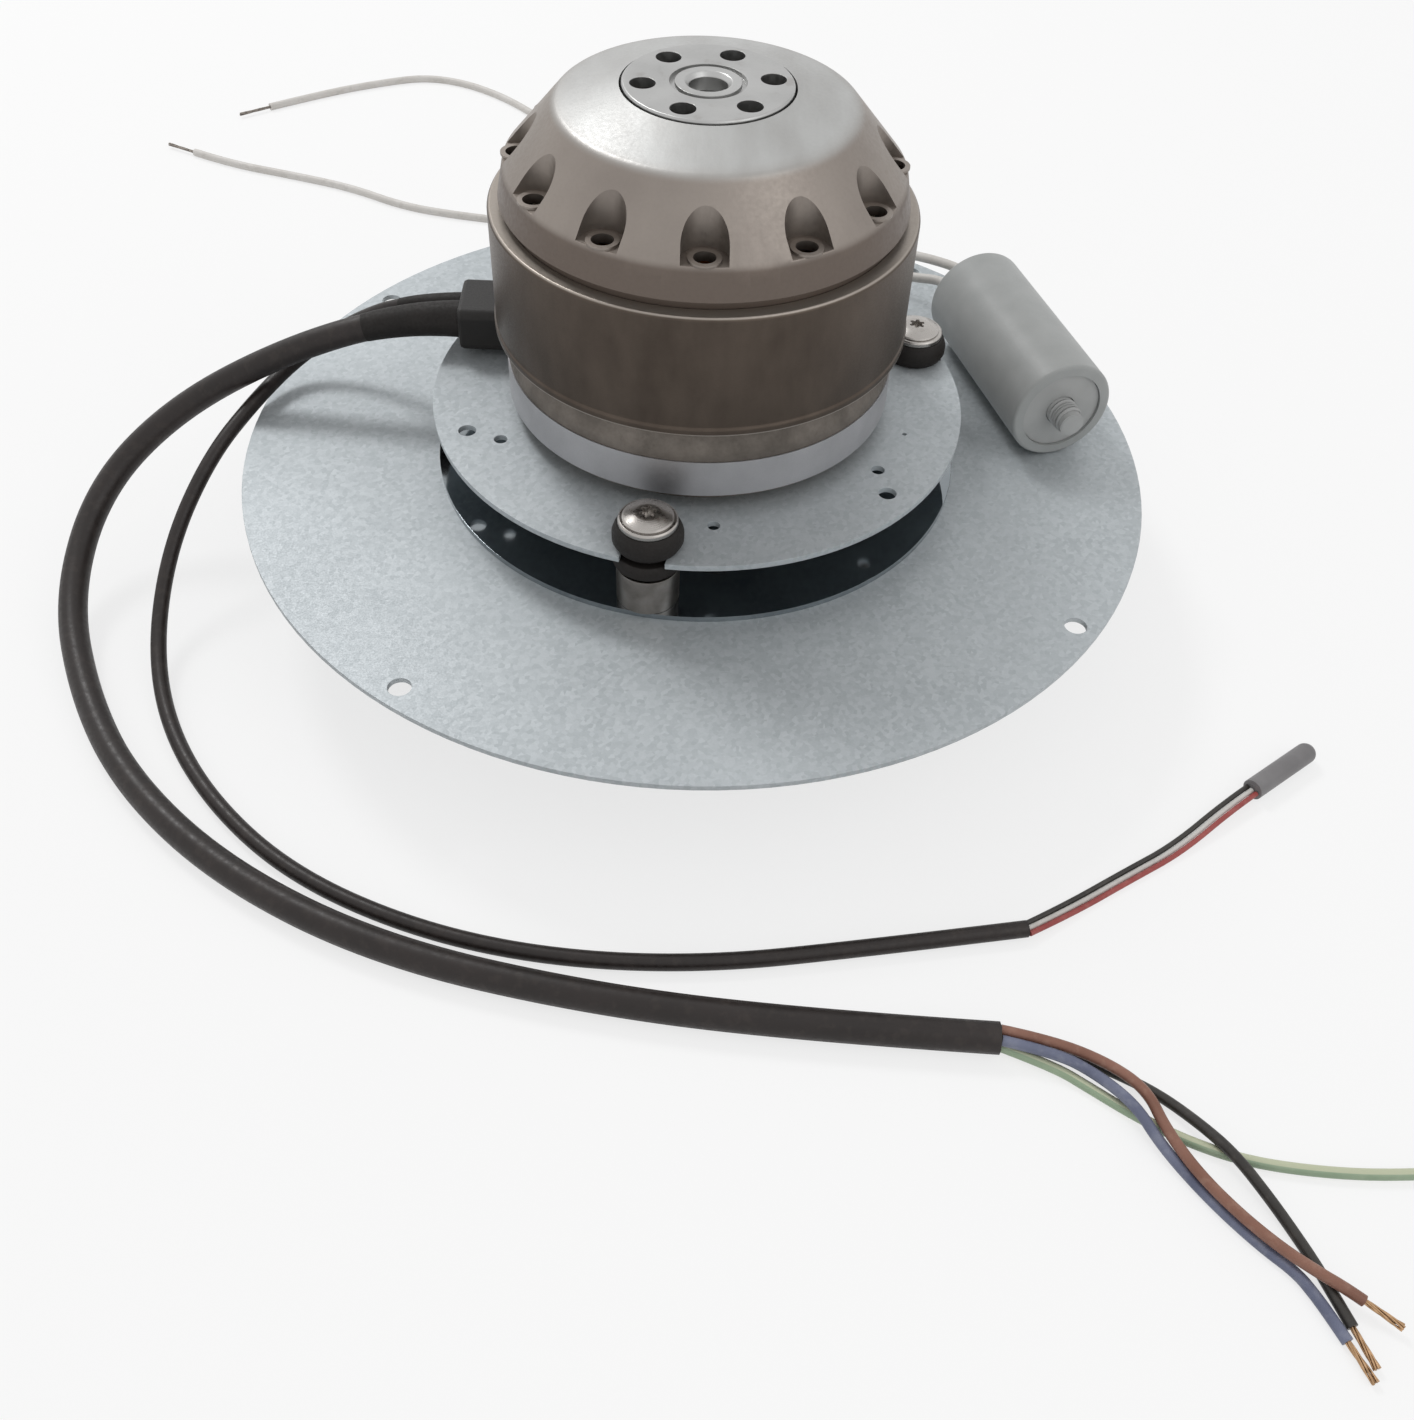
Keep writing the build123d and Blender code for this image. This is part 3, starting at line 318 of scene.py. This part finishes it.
def insulated(name, dark, light, dust="#8A827A", amount=0.12, sheen=0.4):
    # Extruded PVC: satin, with some dust and scuffs on it that take its shine down.
    material, tree, shader, place = start_finish(name, IOR=1.53, Specular_IOR_Level=sheen)
    patches, tone = mottled(tree, place, 10 * mm, linear(dark), linear(light), 0.4)
    grained(tree, shader, place, 1.1 * mm, 0.03 * mm, 0.36, 0.52)
    scuffs, scuff_tone = mottled(tree, place, 2.5 * mm, linear("#000000"), linear("#FFFFFF"), 0.3)
    thin = add(tree, "MapRange", {"Value": scuffs, "From Min": 0.6, "From Max": 1.0, "To Max": amount})
    colour_of(tree, shader, tint(tree, thin.outputs[0], tone, linear(dust)))
    return material


def striped_insulation():
    # Earth wire: pale green with a yellow stripe along each side.
    material, tree, shader, place = start_finish("green_yellow_pvc", IOR=1.53, Specular_IOR_Level=0.4)
    along = add(tree, "TexCoord").outputs["UV"]
    round_wire = add(tree, "SeparateXYZ", {0: along}).outputs["Y"]
    turns = add(tree, "Math", {0: round_wire, 1: 4 * math.pi}, operation="MULTIPLY")
    wave = add(tree, "Math", {0: turns.outputs[0]}, operation="SINE")
    stripe = add(tree, "MapRange", {"Value": wave.outputs[0], "From Min": -0.1, "From Max": 0.1})
    patches, green = mottled(tree, place, 6 * mm, linear("#93A88C"), linear("#A8B99E"), 0.4)
    grained(tree, shader, place, 0.8 * mm, 0.02 * mm, 0.36, 0.5)
    colour_of(tree, shader, tint(tree, stripe.outputs[0], green, linear("#C6CBAE")))
    return material


def stacked_sheets(name, dark, light, pitch):
    # Thin layers one on another along the shaft: steel laminations or layers of wire.
    material, tree, shader, place = start_finish(name, Metallic=0.9, Roughness=0.45)
    height = add(tree, "SeparateXYZ", {0: place}).outputs["Z"]
    phase = add(tree, "Math", {0: height, 1: 2 * math.pi / pitch}, operation="MULTIPLY")
    wave = add(tree, "Math", {0: phase.outputs[0]}, operation="SINE").outputs[0]
    share = add(tree, "MapRange", {"Value": wave, "From Min": -1.0}).outputs[0]
    bump = add(tree, "Bump", {"Height": wave, "Strength": 0.6, "Distance": 0.05 * mm})
    tree.links.new(bump.outputs[0], shader.inputs["Normal"])
    patches, tone = mottled(tree, place, 6 * mm, linear(dark), linear(light), 0.4)
    colour_of(tree, shader, tint(tree, share, tone, linear(light)))
    return material


damper_places = [
    (damper_radius * math.cos(math.radians(angle)), damper_radius * math.sin(math.radians(angle)))
    for angle in (-100, 20, 140)
]
finishes = {
    "galvanised_steel": galvanised_sheet(),
    "polished_steel": mirror_sheet(),
    "zinc_plated_steel": plated("zinc_plated_steel", "#7A746F", "#9A948F", 0.28, 0.42),
    "stainless_steel": turned_metal("stainless_steel", "#A39F9B", "#B9B5B1", 0.5 * mm, 0.24, 0.36,
                                    centres=damper_places),
    "black_rubber": moulded("black_rubber", "#171412", "#211D1B", 0.55, 0.72, 0.7 * mm, 0.03 * mm, 0.3),
    "cast_aluminium_dark": dull_casting("stator_flange_casting", "#5E5852", "#7C756E"),
    "cast_aluminium": cast_dome(),
    "bare_foil_band": plated("bare_foil_band", "#A8A7A9", "#B7B6B8", 0.42, 0.55, 12 * mm),
    "black_plastic": moulded("black_nylon", "#151312", "#201D1B", 0.42, 0.58, sheen=0.35),
    "turned_steel": turned_metal("turned_steel", "#A3A3A2", "#B6B6B5", 0.7 * mm, 0.3, 0.42),
    "spring_steel": plated("spring_steel", "#5F5E5D", "#7A7978", 0.3, 0.4),
    "bearing_steel": plated("bearing_steel", "#A8A8A8", "#C2C2C2", 0.1, 0.2),
    "lamination_steel": stacked_sheets("lamination_steel", "#4A4744", "#6C6864", 0.5 * mm),
    "insulator_plastic": moulded("insulator_nylon", "#B8AE92", "#CFC6AC", 0.5, 0.6),
    "copper_winding": stacked_sheets("varnished_copper_wire", "#7A3E1E", "#B5673A", 0.8 * mm),
    "circuit_board": moulded("circuit_board_lacquer", "#123E20", "#1C5A2E", 0.3, 0.4),
    "gunmetal_steel": heat_tinted_can(),
    "ferrite_magnet": moulded("ferrite_magnet", "#242322", "#353433", 0.5, 0.65),
    "impeller_steel": plated("impeller_sheet_steel", "#8E8B87", "#ABA8A4", 0.3, 0.45, 20 * mm),
    "grey_plastic": moulded("capacitor_grey_plastic", "#9C9E9D", "#A6A8A7", 0.4, 0.52, sheen=0.4),
    "light_grey_plastic": moulded("light_grey_nylon", "#A6A7A6", "#B2B3B2", 0.36, 0.5, sheen=0.4),
    "white_insulation": insulated("white_pvc", "#CFCBC6", "#DAD7D3", "#A29C95", 0.22),
    "tinned_copper": plated("tinned_copper_strand", "#6B6560", "#98918B", 0.3, 0.4, 1.5 * mm),
    "black_sheath": insulated("black_pvc_sheath", "#1F1917", "#28211F", "#5E554E", 0.08, 0.35),
    "brown_insulation": insulated("brown_pvc", "#7E5646", "#946A5A", "#A98877", 0.25),
    "black_insulation": insulated("black_pvc", "#2A2724", "#373430", "#6A645D", 0.15),
    "blue_insulation": insulated("blue_pvc", "#5C6178", "#777C92", "#9598A5", 0.25),
    "green_yellow_insulation": striped_insulation(),
    "bare_copper": plated("bare_copper_strand", "#97795A", "#C9A682", 0.3, 0.42, 1.5 * mm),
    "red_insulation": insulated("red_pvc", "#96403E", "#AB5450", "#B7817B", 0.2),
    "grey_cap_plastic": moulded("splice_cap_plastic", "#737172", "#838182", 0.4, 0.5, sheen=0.4),
}
slot_of = {row["node"]: row["material_slot"] for row in frame["record"]["subparts"]}
for node_name, cad_node in nodes.items():
    cad_node.data.materials.clear()
    cad_node.data.materials.append(finishes[slot_of[node_name]])


def rounded_copy(node_name, name, width, angle=35):
    # A CAD node's own shape as one smooth skin with its sharp edges broken.
    source = nodes[node_name]
    body = source["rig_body"]
    piece = bpy.data.objects.new(name, source.data.copy())
    bpy.context.scene.collection.objects.link(piece)
    activate(piece)
    bpy.ops.mesh.customdata_custom_splitnormals_clear()
    bpy.ops.object.mode_set(mode="EDIT")
    bpy.ops.mesh.select_all(action="SELECT")
    bpy.ops.mesh.remove_doubles(threshold=0.004 * mm)
    bpy.ops.mesh.dissolve_limited(angle_limit=math.radians(0.5))
    bpy.ops.object.mode_set(mode="OBJECT")
    if width:
        bevel = piece.modifiers.new("broken_edges", "BEVEL")
        bevel.width = width * mm
        bevel.segments = 2
        bevel.limit_method = "ANGLE"
        bevel.angle_limit = math.radians(angle)
        bpy.ops.object.modifier_apply(modifier=bevel.name)
    bpy.ops.object.shade_smooth_by_angle(angle=math.radians(angle))
    if width:
        evened = piece.modifiers.new("flat_faces_flat", "WEIGHTED_NORMAL")
        evened.keep_sharp = True
        evened.weight = 100
        bpy.ops.object.modifier_apply(modifier=evened.name)
    slot_name = slot_of[node_name]
    return settle(piece, name, body, finishes[slot_name], [node_name])


# ---------------------------------------------------------------- cords

def above(diameter):
    # Height of the middle of a cord that lies on the surface the fan stands on.
    return ground + diameter / 2


def centreline(route, steps=12):
    # The line that a cord's curve follows: an arc at each of its points.
    points = [Vector(point) for point in route]
    joints = [points[0]]
    joints += [(points[i] + points[i + 1]) / 2 for i in range(1, len(points) - 2)]
    joints += [points[-1]]
    line = []
    for start, corner, end in zip(joints, points[1:-1], joints[1:]):
        for i in range(steps):
            t = i / steps
            line.append((1 - t) ** 2 * start + 2 * t * (1 - t) * corner + t * t * end)
    line.append(points[-1])
    return line


def length_of(line):
    return sum((b - a).length for a, b in zip(line, line[1:]))


def cord_curve(name, route, diameter):
    # One smooth curve with a round section through the middle of the cord.
    curve = bpy.data.curves.new(name, "CURVE")
    curve.dimensions = "3D"
    curve.resolution_u = 12
    curve.bevel_depth = diameter / 2 * mm
    curve.bevel_resolution = 5
    curve.use_fill_caps = True
    spline = curve.splines.new("NURBS")
    spline.points.add(len(route) - 1)
    for control, point in zip(spline.points, route):
        control.co = (*(Vector(point) * mm), 1)
    spline.order_u = 3
    spline.use_endpoint_u = True
    piece = bpy.data.objects.new(name, curve)
    bpy.context.scene.collection.objects.link(piece)
    return piece


mains_diameter = 7.2
signal_diameter = 4.0
core_diameter = 2.4
core_pitch = 2.5
wire_diameter = 1.3
wire_pitch = 1.4
lead_diameter = 2.8
sheath_end_gap = 0.3
mains_z = above(mains_diameter)
signal_z = above(signal_diameter)
core_z = above(core_diameter)
wire_z = above(wire_diameter)
lead_z = above(lead_diameter)
gland_x = -64.0
gland_z = 27.0

mains_route = [
    (gland_x, 17.5, gland_z), (-80, 17.5, gland_z), (-112, 14.5, 17), (-143, 7, 2),
    (-162, -11, -12), (-164.5, -41, -24), (-152, -72, mains_z), (-133, -100, mains_z),
    (-104, -125, mains_z), (-66, -144, mains_z), (-20, -154.5, mains_z), (26, -159.6, mains_z),
    (68.5, -161.5, mains_z),
]
signal_route = [
    (gland_x, 25, gland_z), (-79, 25, gland_z), (-96, 30.5, 17), (-112, 26, 7.5),
    (-120.8, 8, 5), (-130, -10, -1), (-138, -30, -14), (-138.5, -54, -26),
    (-130.5, -78, signal_z), (-114, -102, signal_z), (-91, -122.5, signal_z),
    (-61.5, -136.5, signal_z), (-30, -143.6, signal_z), (5, -144.3, signal_z),
    (42, -138.7, signal_z), (78.8, -132.3, signal_z),
]


def sheath_exit(route, aside, up):
    # A point just past the end of a sheath, off its middle by aside and up.
    end = Vector(route[-1])
    heading = (end - Vector(route[-2])).normalized()
    across = Vector((-heading.y, heading.x, 0))
    return tuple(end + heading * sheath_end_gap + across * aside + Vector((0, 0, up)))


def core_start(side, level):
    return sheath_exit(mains_route, side * core_pitch / 2, level * core_pitch / 2)


core_routes = {
    "brown_core": [
        core_start(1, 1), (80, -162.5, -28.4), (91, -167.3, -28.6), (98, -173, -28.9),
        (100.2, -181.5, -28.9), (104.6, -190.2, -29.2), (110.8, -198.5, -29.2),
        (118, -205.8, -29.2), (124.4, -210.6, -29.2), (128.4, -213.2, -29.2),
        (131.6, -215.4, -29.7),
    ],
    "black_core": [
        core_start(1, -1), (80, -162.3, -31.2), (91, -166.9, -31.6), (100.5, -172, -31.6),
        (107.5, -179, -30.4), (113.2, -186.5, -29.0), (118.8, -195.2, -30.5),
        (122.8, -202.3, core_z), (125.2, -208.2, core_z), (127.2, -214.4, core_z),
        (128.9, -219.6, core_z),
    ],
    "blue_core": [
        core_start(-1, 1), (80, -165.1, -28.6), (88, -169.6, -29.0), (95, -176.5, -28.9),
        (98.8, -183.9, -30.3), (104, -190.8, core_z), (109.6, -198.2, core_z),
        (115.6, -204.8, core_z), (120.8, -209.4, core_z), (123.3, -213.6, core_z),
        (125.4, -218.1, core_z), (127.2, -222.3, core_z),
    ],
    "earth_core": [
        core_start(-1, -1), (80, -166.9, -31.3), (87, -171.5, core_z), (96, -177.8, core_z),
        (105, -182.8, core_z), (116, -186.8, core_z), (130, -188.8, core_z),
        (146, -189.3, core_z), (160, -188.2, core_z),
    ],
}
cap_place = Vector((141.0, -89.5, above(5.4)))
cap_heading = Vector((0.797, 0.604, 0)).normalized()
cap_across = Vector((-cap_heading.y, cap_heading.x, 0))


def wire_route(side):
    aside = cap_across * (side * wire_pitch)
    last = cap_place - cap_heading * sheath_end_gap + aside
    bends = [(90, -125.6), (105, -115.9), (119, -107.2)]
    middle = [tuple(Vector((x, y, wire_z + 0.1)) + aside) for x, y in bends]
    first = sheath_exit(signal_route, side * wire_pitch, 0)
    return [first] + middle + [tuple(last - cap_heading * 9), tuple(last)]


wire_routes = {
    "sensor_wire_red": wire_route(-1),
    "sensor_wire_white": wire_route(0),
    "sensor_wire_black": wire_route(1),
}

capacitor_near = Vector((97.3, 1.9, 15.6))
capacitor_turn = math.radians(107.0)
capacitor_length = 58.5
capacitor_heading = Vector((math.cos(capacitor_turn), math.sin(capacitor_turn), 0))
capacitor_across = Vector((-capacitor_heading.y, capacitor_heading.x, 0))


def lead_start(side, ahead):
    far_end = capacitor_near + capacitor_heading * (capacitor_length + ahead)
    return tuple(far_end + capacitor_across * (side * 4.5))


lead_routes = {
    "capacitor_lead_long": [
        lead_start(-1, 0), lead_start(-1, 10), (71, 77, 15.5), (53, 89, 12), (33, 114, 6),
        (15, 141, -8), (-6, 172, -23), (-30, 206, lead_z), (-55, 240, lead_z), (-77, 268, lead_z),
        (-99, 285, lead_z), (-119, 290.5, lead_z), (-137, 283.5, lead_z), (-158, 272, lead_z),
        (-178, 257.5, lead_z),
    ],
    "capacitor_lead_short": [
        lead_start(1, 0), lead_start(1, 9), (62, 71, 13), (44, 80, 10), (22, 97, 7.5),
        (3, 121, 5), (-18, 143, -9), (-42, 161, -23), (-67, 173.5, lead_z), (-91, 177, lead_z),
        (-112, 182, lead_z), (-134, 194.5, lead_z), (-159, 202.5, lead_z), (-182, 209, lead_z),
        (-198, 217, lead_z),
    ],
}


def free_cord(name, route, diameter):
    # A cord with its finish and its body; its length is worked out but not kept.
    piece = cord_curve(name + "_cord", route, diameter)
    piece.data.materials.append(finishes[slot_of[name]])
    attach(piece, "motor_frame")
    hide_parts(name)
    length_of(centreline(route)) * mm
    return piece


def tube_along(name, line, radii, roundness=6):
    # A closed tube through close points, with its own radius at each of them.
    curve = bpy.data.curves.new(name, "CURVE")
    curve.dimensions = "3D"
    curve.bevel_depth = 1.0
    curve.bevel_resolution = roundness
    curve.use_fill_caps = True
    spline = curve.splines.new("POLY")
    spline.points.add(len(line) - 1)
    for control, point, radius in zip(spline.points, line, radii):
        control.co = (*(Vector(point) * mm), 1)
        control.radius = radius * mm
    piece = bpy.data.objects.new(name, curve)
    bpy.context.scene.collection.objects.link(piece)
    activate(piece)
    bpy.ops.object.convert(target="MESH")
    bpy.ops.object.mode_set(mode="EDIT")
    bpy.ops.mesh.select_all(action="SELECT")
    bpy.ops.mesh.remove_doubles(threshold=0.002 * mm)
    bpy.ops.mesh.normals_make_consistent(inside=False)
    bpy.ops.object.mode_set(mode="OBJECT")
    bpy.ops.object.shade_smooth_by_angle(angle=math.radians(40))
    return bpy.context.view_layer.objects.active


def strain_relief(name, route, length, root, tip):
    # A smooth tapered rubber boot round the start of a cord.
    line = [Vector(route[0])]
    radii = [root]
    fine = centreline(route, 60)
    travelled = 0.0
    for before, point in zip(fine, fine[1:]):
        travelled += (point - before).length
        if travelled > length:
            break
        line.append(point)
        radii.append(root + (tip - root) * travelled / length)
    piece = tube_along(name, line, radii)
    return settle(piece, name, "motor_frame", finishes["black_rubber"])


def stripped_end(name, route, length, strand, slot_name, replaced, splay):
    # Seven strands of wire, twisted one round another, that open a little at their tip.
    tip = Vector(route[-1])
    heading = (tip - Vector(route[-2])).normalized()
    across = Vector((-heading.y, heading.x, 0)).normalized()
    upward = heading.cross(across)
    strands = []
    for i in range(7):
        turned_by = random.uniform(-0.2, 0.2)
        line = []
        for step in range(13):
            share = step / 12
            away = (0 if i == 6 else strand) * (1 + splay * share * share * random.uniform(0.9, 1.1))
            angle = i * math.pi / 3 + turned_by + share * 2.6
            offset = across * math.cos(angle) * away + upward * math.sin(angle) * away
            line.append(tip + heading * (share * length * random.uniform(0.985, 1.0)) + offset)
        strands.append(tube_along(f"{name}_{i}", line, [strand / 2] * 13))
    deselect()
    for piece in strands:
        piece.select_set(True)
    bpy.context.view_layer.objects.active = strands[0]
    bpy.ops.object.join()
    return settle(strands[0], name, "motor_frame", finishes[slot_name], [replaced])


mains_boot = strain_relief("mains_strain_relief", mains_route, 26.0, 4.9, 3.72)
signal_boot = strain_relief("signal_strain_relief", signal_route, 18.0, 3.0, 2.1)
free_cord("mains_cable", mains_route, mains_diameter)
free_cord("signal_cable", signal_route, signal_diameter)
for name, route in core_routes.items():
    end = stripped_end(name + "_strands", route, 8.0, 0.42, "bare_copper", "core_bare_ends", 0.5)
    free_cord(name, route, core_diameter)
splice_sleeve = rounded_copy("splice_cap", "splice_cap_sleeve", 0)
for name, route in wire_routes.items():
    free_cord(name, route, wire_diameter)
for name, route in lead_routes.items():
    end = stripped_end(name + "_strands", route, 13.0, 0.36, "tinned_copper",
                       "capacitor_lead_bare_ends", 0.3)
    free_cord(name, route, lead_diameter)


# ---------------------------------------------------------------- pieces

def threaded_stud(name):
    # The capacitor's M8 stud: a core with the thread wound round it and a plain tip.
    pitch = 1.25
    crest = 4.0
    collar_end = 1.0
    tip = 12.4
    parts = []
    for radius, start, end in ((3.3, 0.0, tip), (2.9, tip - 0.4, tip + 0.1), (5.4, 0.0, collar_end)):
        deselect()
        bpy.ops.mesh.primitive_cylinder_add(vertices=64, radius=radius * mm, depth=(end - start) * mm,
                                            location=(0, 0, (start + end) / 2 * mm))
        parts.append(bpy.context.active_object)
    line = []
    radii = []
    steps = 36
    rounds = (tip - 1.4 - collar_end) / pitch
    for i in range(int(rounds * steps) + 1):
        angle = 2 * math.pi * i / steps
        left = rounds * steps - i
        fade = min(1.0, left / steps + 0.25)
        reach = (crest - 0.62) * (0.9 + 0.1 * fade)
        line.append((reach * math.cos(angle), reach * math.sin(angle), collar_end + 0.2 + pitch * i / steps))
        radii.append(0.62 * fade)
    parts.append(tube_along("thread", line, radii, 0))
    deselect()
    for part in parts:
        part.select_set(True)
    bpy.context.view_layer.objects.active = parts[0]
    bpy.ops.object.join()
    piece = parts[0]
    outwards = -capacitor_heading
    turned = outwards.to_track_quat("Z", "Y").to_matrix().to_4x4()
    piece.matrix_world = Matrix.Translation(capacitor_near * mm) @ turned
    return settle(piece, name, "motor_frame", finishes["light_grey_plastic"],
                  ["capacitor_stud"])


rounded_copy("mounting_plate", "mounting_plate_sheet", 0.15)
rounded_copy("heat_shield_disc", "heat_shield_sheet", 0.12)
rounded_copy("motor_plate", "motor_plate_sheet", 0.15)
rounded_copy("standoff_sleeves", "standoff_sleeve_turnings", 0.2)
rounded_copy("damper_grommets", "damper_grommet_mouldings", 0.3)
rounded_copy("damper_cup_washers", "damper_cup_washer_pressings", 0.15)
rounded_copy("damper_screws", "damper_screw_heads", 0.12)
rounded_copy("stator_flange", "stator_flange_casting", 0.3)
rounded_copy("label_band", "label_band_foil", 0)
rounded_copy("rotor_can", "rotor_can_shell", 0.2)
rounded_copy("rotor_dome", "rotor_dome_casting", 0.35)
rounded_copy("hub_disc", "hub_disc_turning", 0.15)
rounded_copy("capacitor_can", "capacitor_can_shell", 0)
rounded_copy("capacitor_lid", "capacitor_lid_disc", 0.15)
rounded_copy("cable_gland", "cable_gland_moulding", 1.2, 50)
threaded_stud("capacitor_threaded_stud")


# ---------------------------------------------------------------- stage

def area_lamp(name, place, size, watts, colour="#FFFFFF"):
    data = bpy.data.lights.new(name, "AREA")
    data.shape = "DISK"
    data.size = size
    data.energy = watts
    data.color = linear(colour)[:3]
    lamp = bpy.data.objects.new(name, data)
    bpy.context.scene.collection.objects.link(lamp)
    aim = Vector((0, 0, 0.03)) - Vector(place)
    lamp.matrix_world = Matrix.Translation(place) @ aim.to_track_quat("-Z", "Y").to_matrix().to_4x4()


area_lamp("key", (-0.7, 0.9, 1.3), 0.45, 8.5)
area_lamp("fill", (0.9, -0.6, 1.2), 1.2, 3.0)

world = bpy.data.worlds.new("studio")
bpy.context.scene.world = world
world.use_nodes = True
sky = world.node_tree
rays = add(sky, "LightPath")
seen = add(sky, "Math", {0: rays.outputs["Is Camera Ray"], 1: rays.outputs["Is Glossy Ray"]}, operation="MAXIMUM")
seen = add(sky, "Math", {0: seen.outputs[0], 1: rays.outputs["Is Transmission Ray"]}, operation="MAXIMUM")
level = add(sky, "MapRange", {"Value": seen.outputs[0], "To Min": 0.6, "To Max": 1.0})
sky.links.new(level.outputs[0], sky.nodes["Background"].inputs["Strength"])
sky.nodes["Background"].inputs["Color"].default_value = linear("#FFFFFF")

floor_material = bpy.data.materials.new("white_paper_sweep")
floor_material.use_nodes = True
paper = floor_material.node_tree
paper.nodes["Principled BSDF"].inputs["Roughness"].default_value = 0.9
paper.nodes["Principled BSDF"].inputs["Base Color"].default_value = linear("#F4F4F4")
rays = add(paper, "LightPath")
seen = add(paper, "Math", {0: rays.outputs["Is Camera Ray"], 1: rays.outputs["Is Glossy Ray"]}, operation="MAXIMUM")
seen = add(paper, "Math", {0: seen.outputs[0], 1: rays.outputs["Is Transmission Ray"]}, operation="MAXIMUM")
share = add(paper, "Math", {0: seen.outputs[0], 1: 0.72}, operation="MULTIPLY")
glow = add(paper, "Emission", {"Color": linear("#FFFFFF"), "Strength": 1.0})
mixed = add(paper, "MixShader", {0: share.outputs[0], 1: paper.nodes["Principled BSDF"].outputs[0],
                                 2: glow.outputs[0]})
paper.links.new(mixed.outputs[0], paper.nodes["Material Output"].inputs["Surface"])

deselect()
bpy.ops.mesh.primitive_circle_add(vertices=96, radius=4.0, fill_type="NGON",
                                  location=(0, 0, (ground - 0.05) * mm))
floor = bpy.context.active_object
floor.name = "floor"
floor.data.materials.append(floor_material)

bpy.context.scene.view_settings.view_transform = "Standard"
deselect()
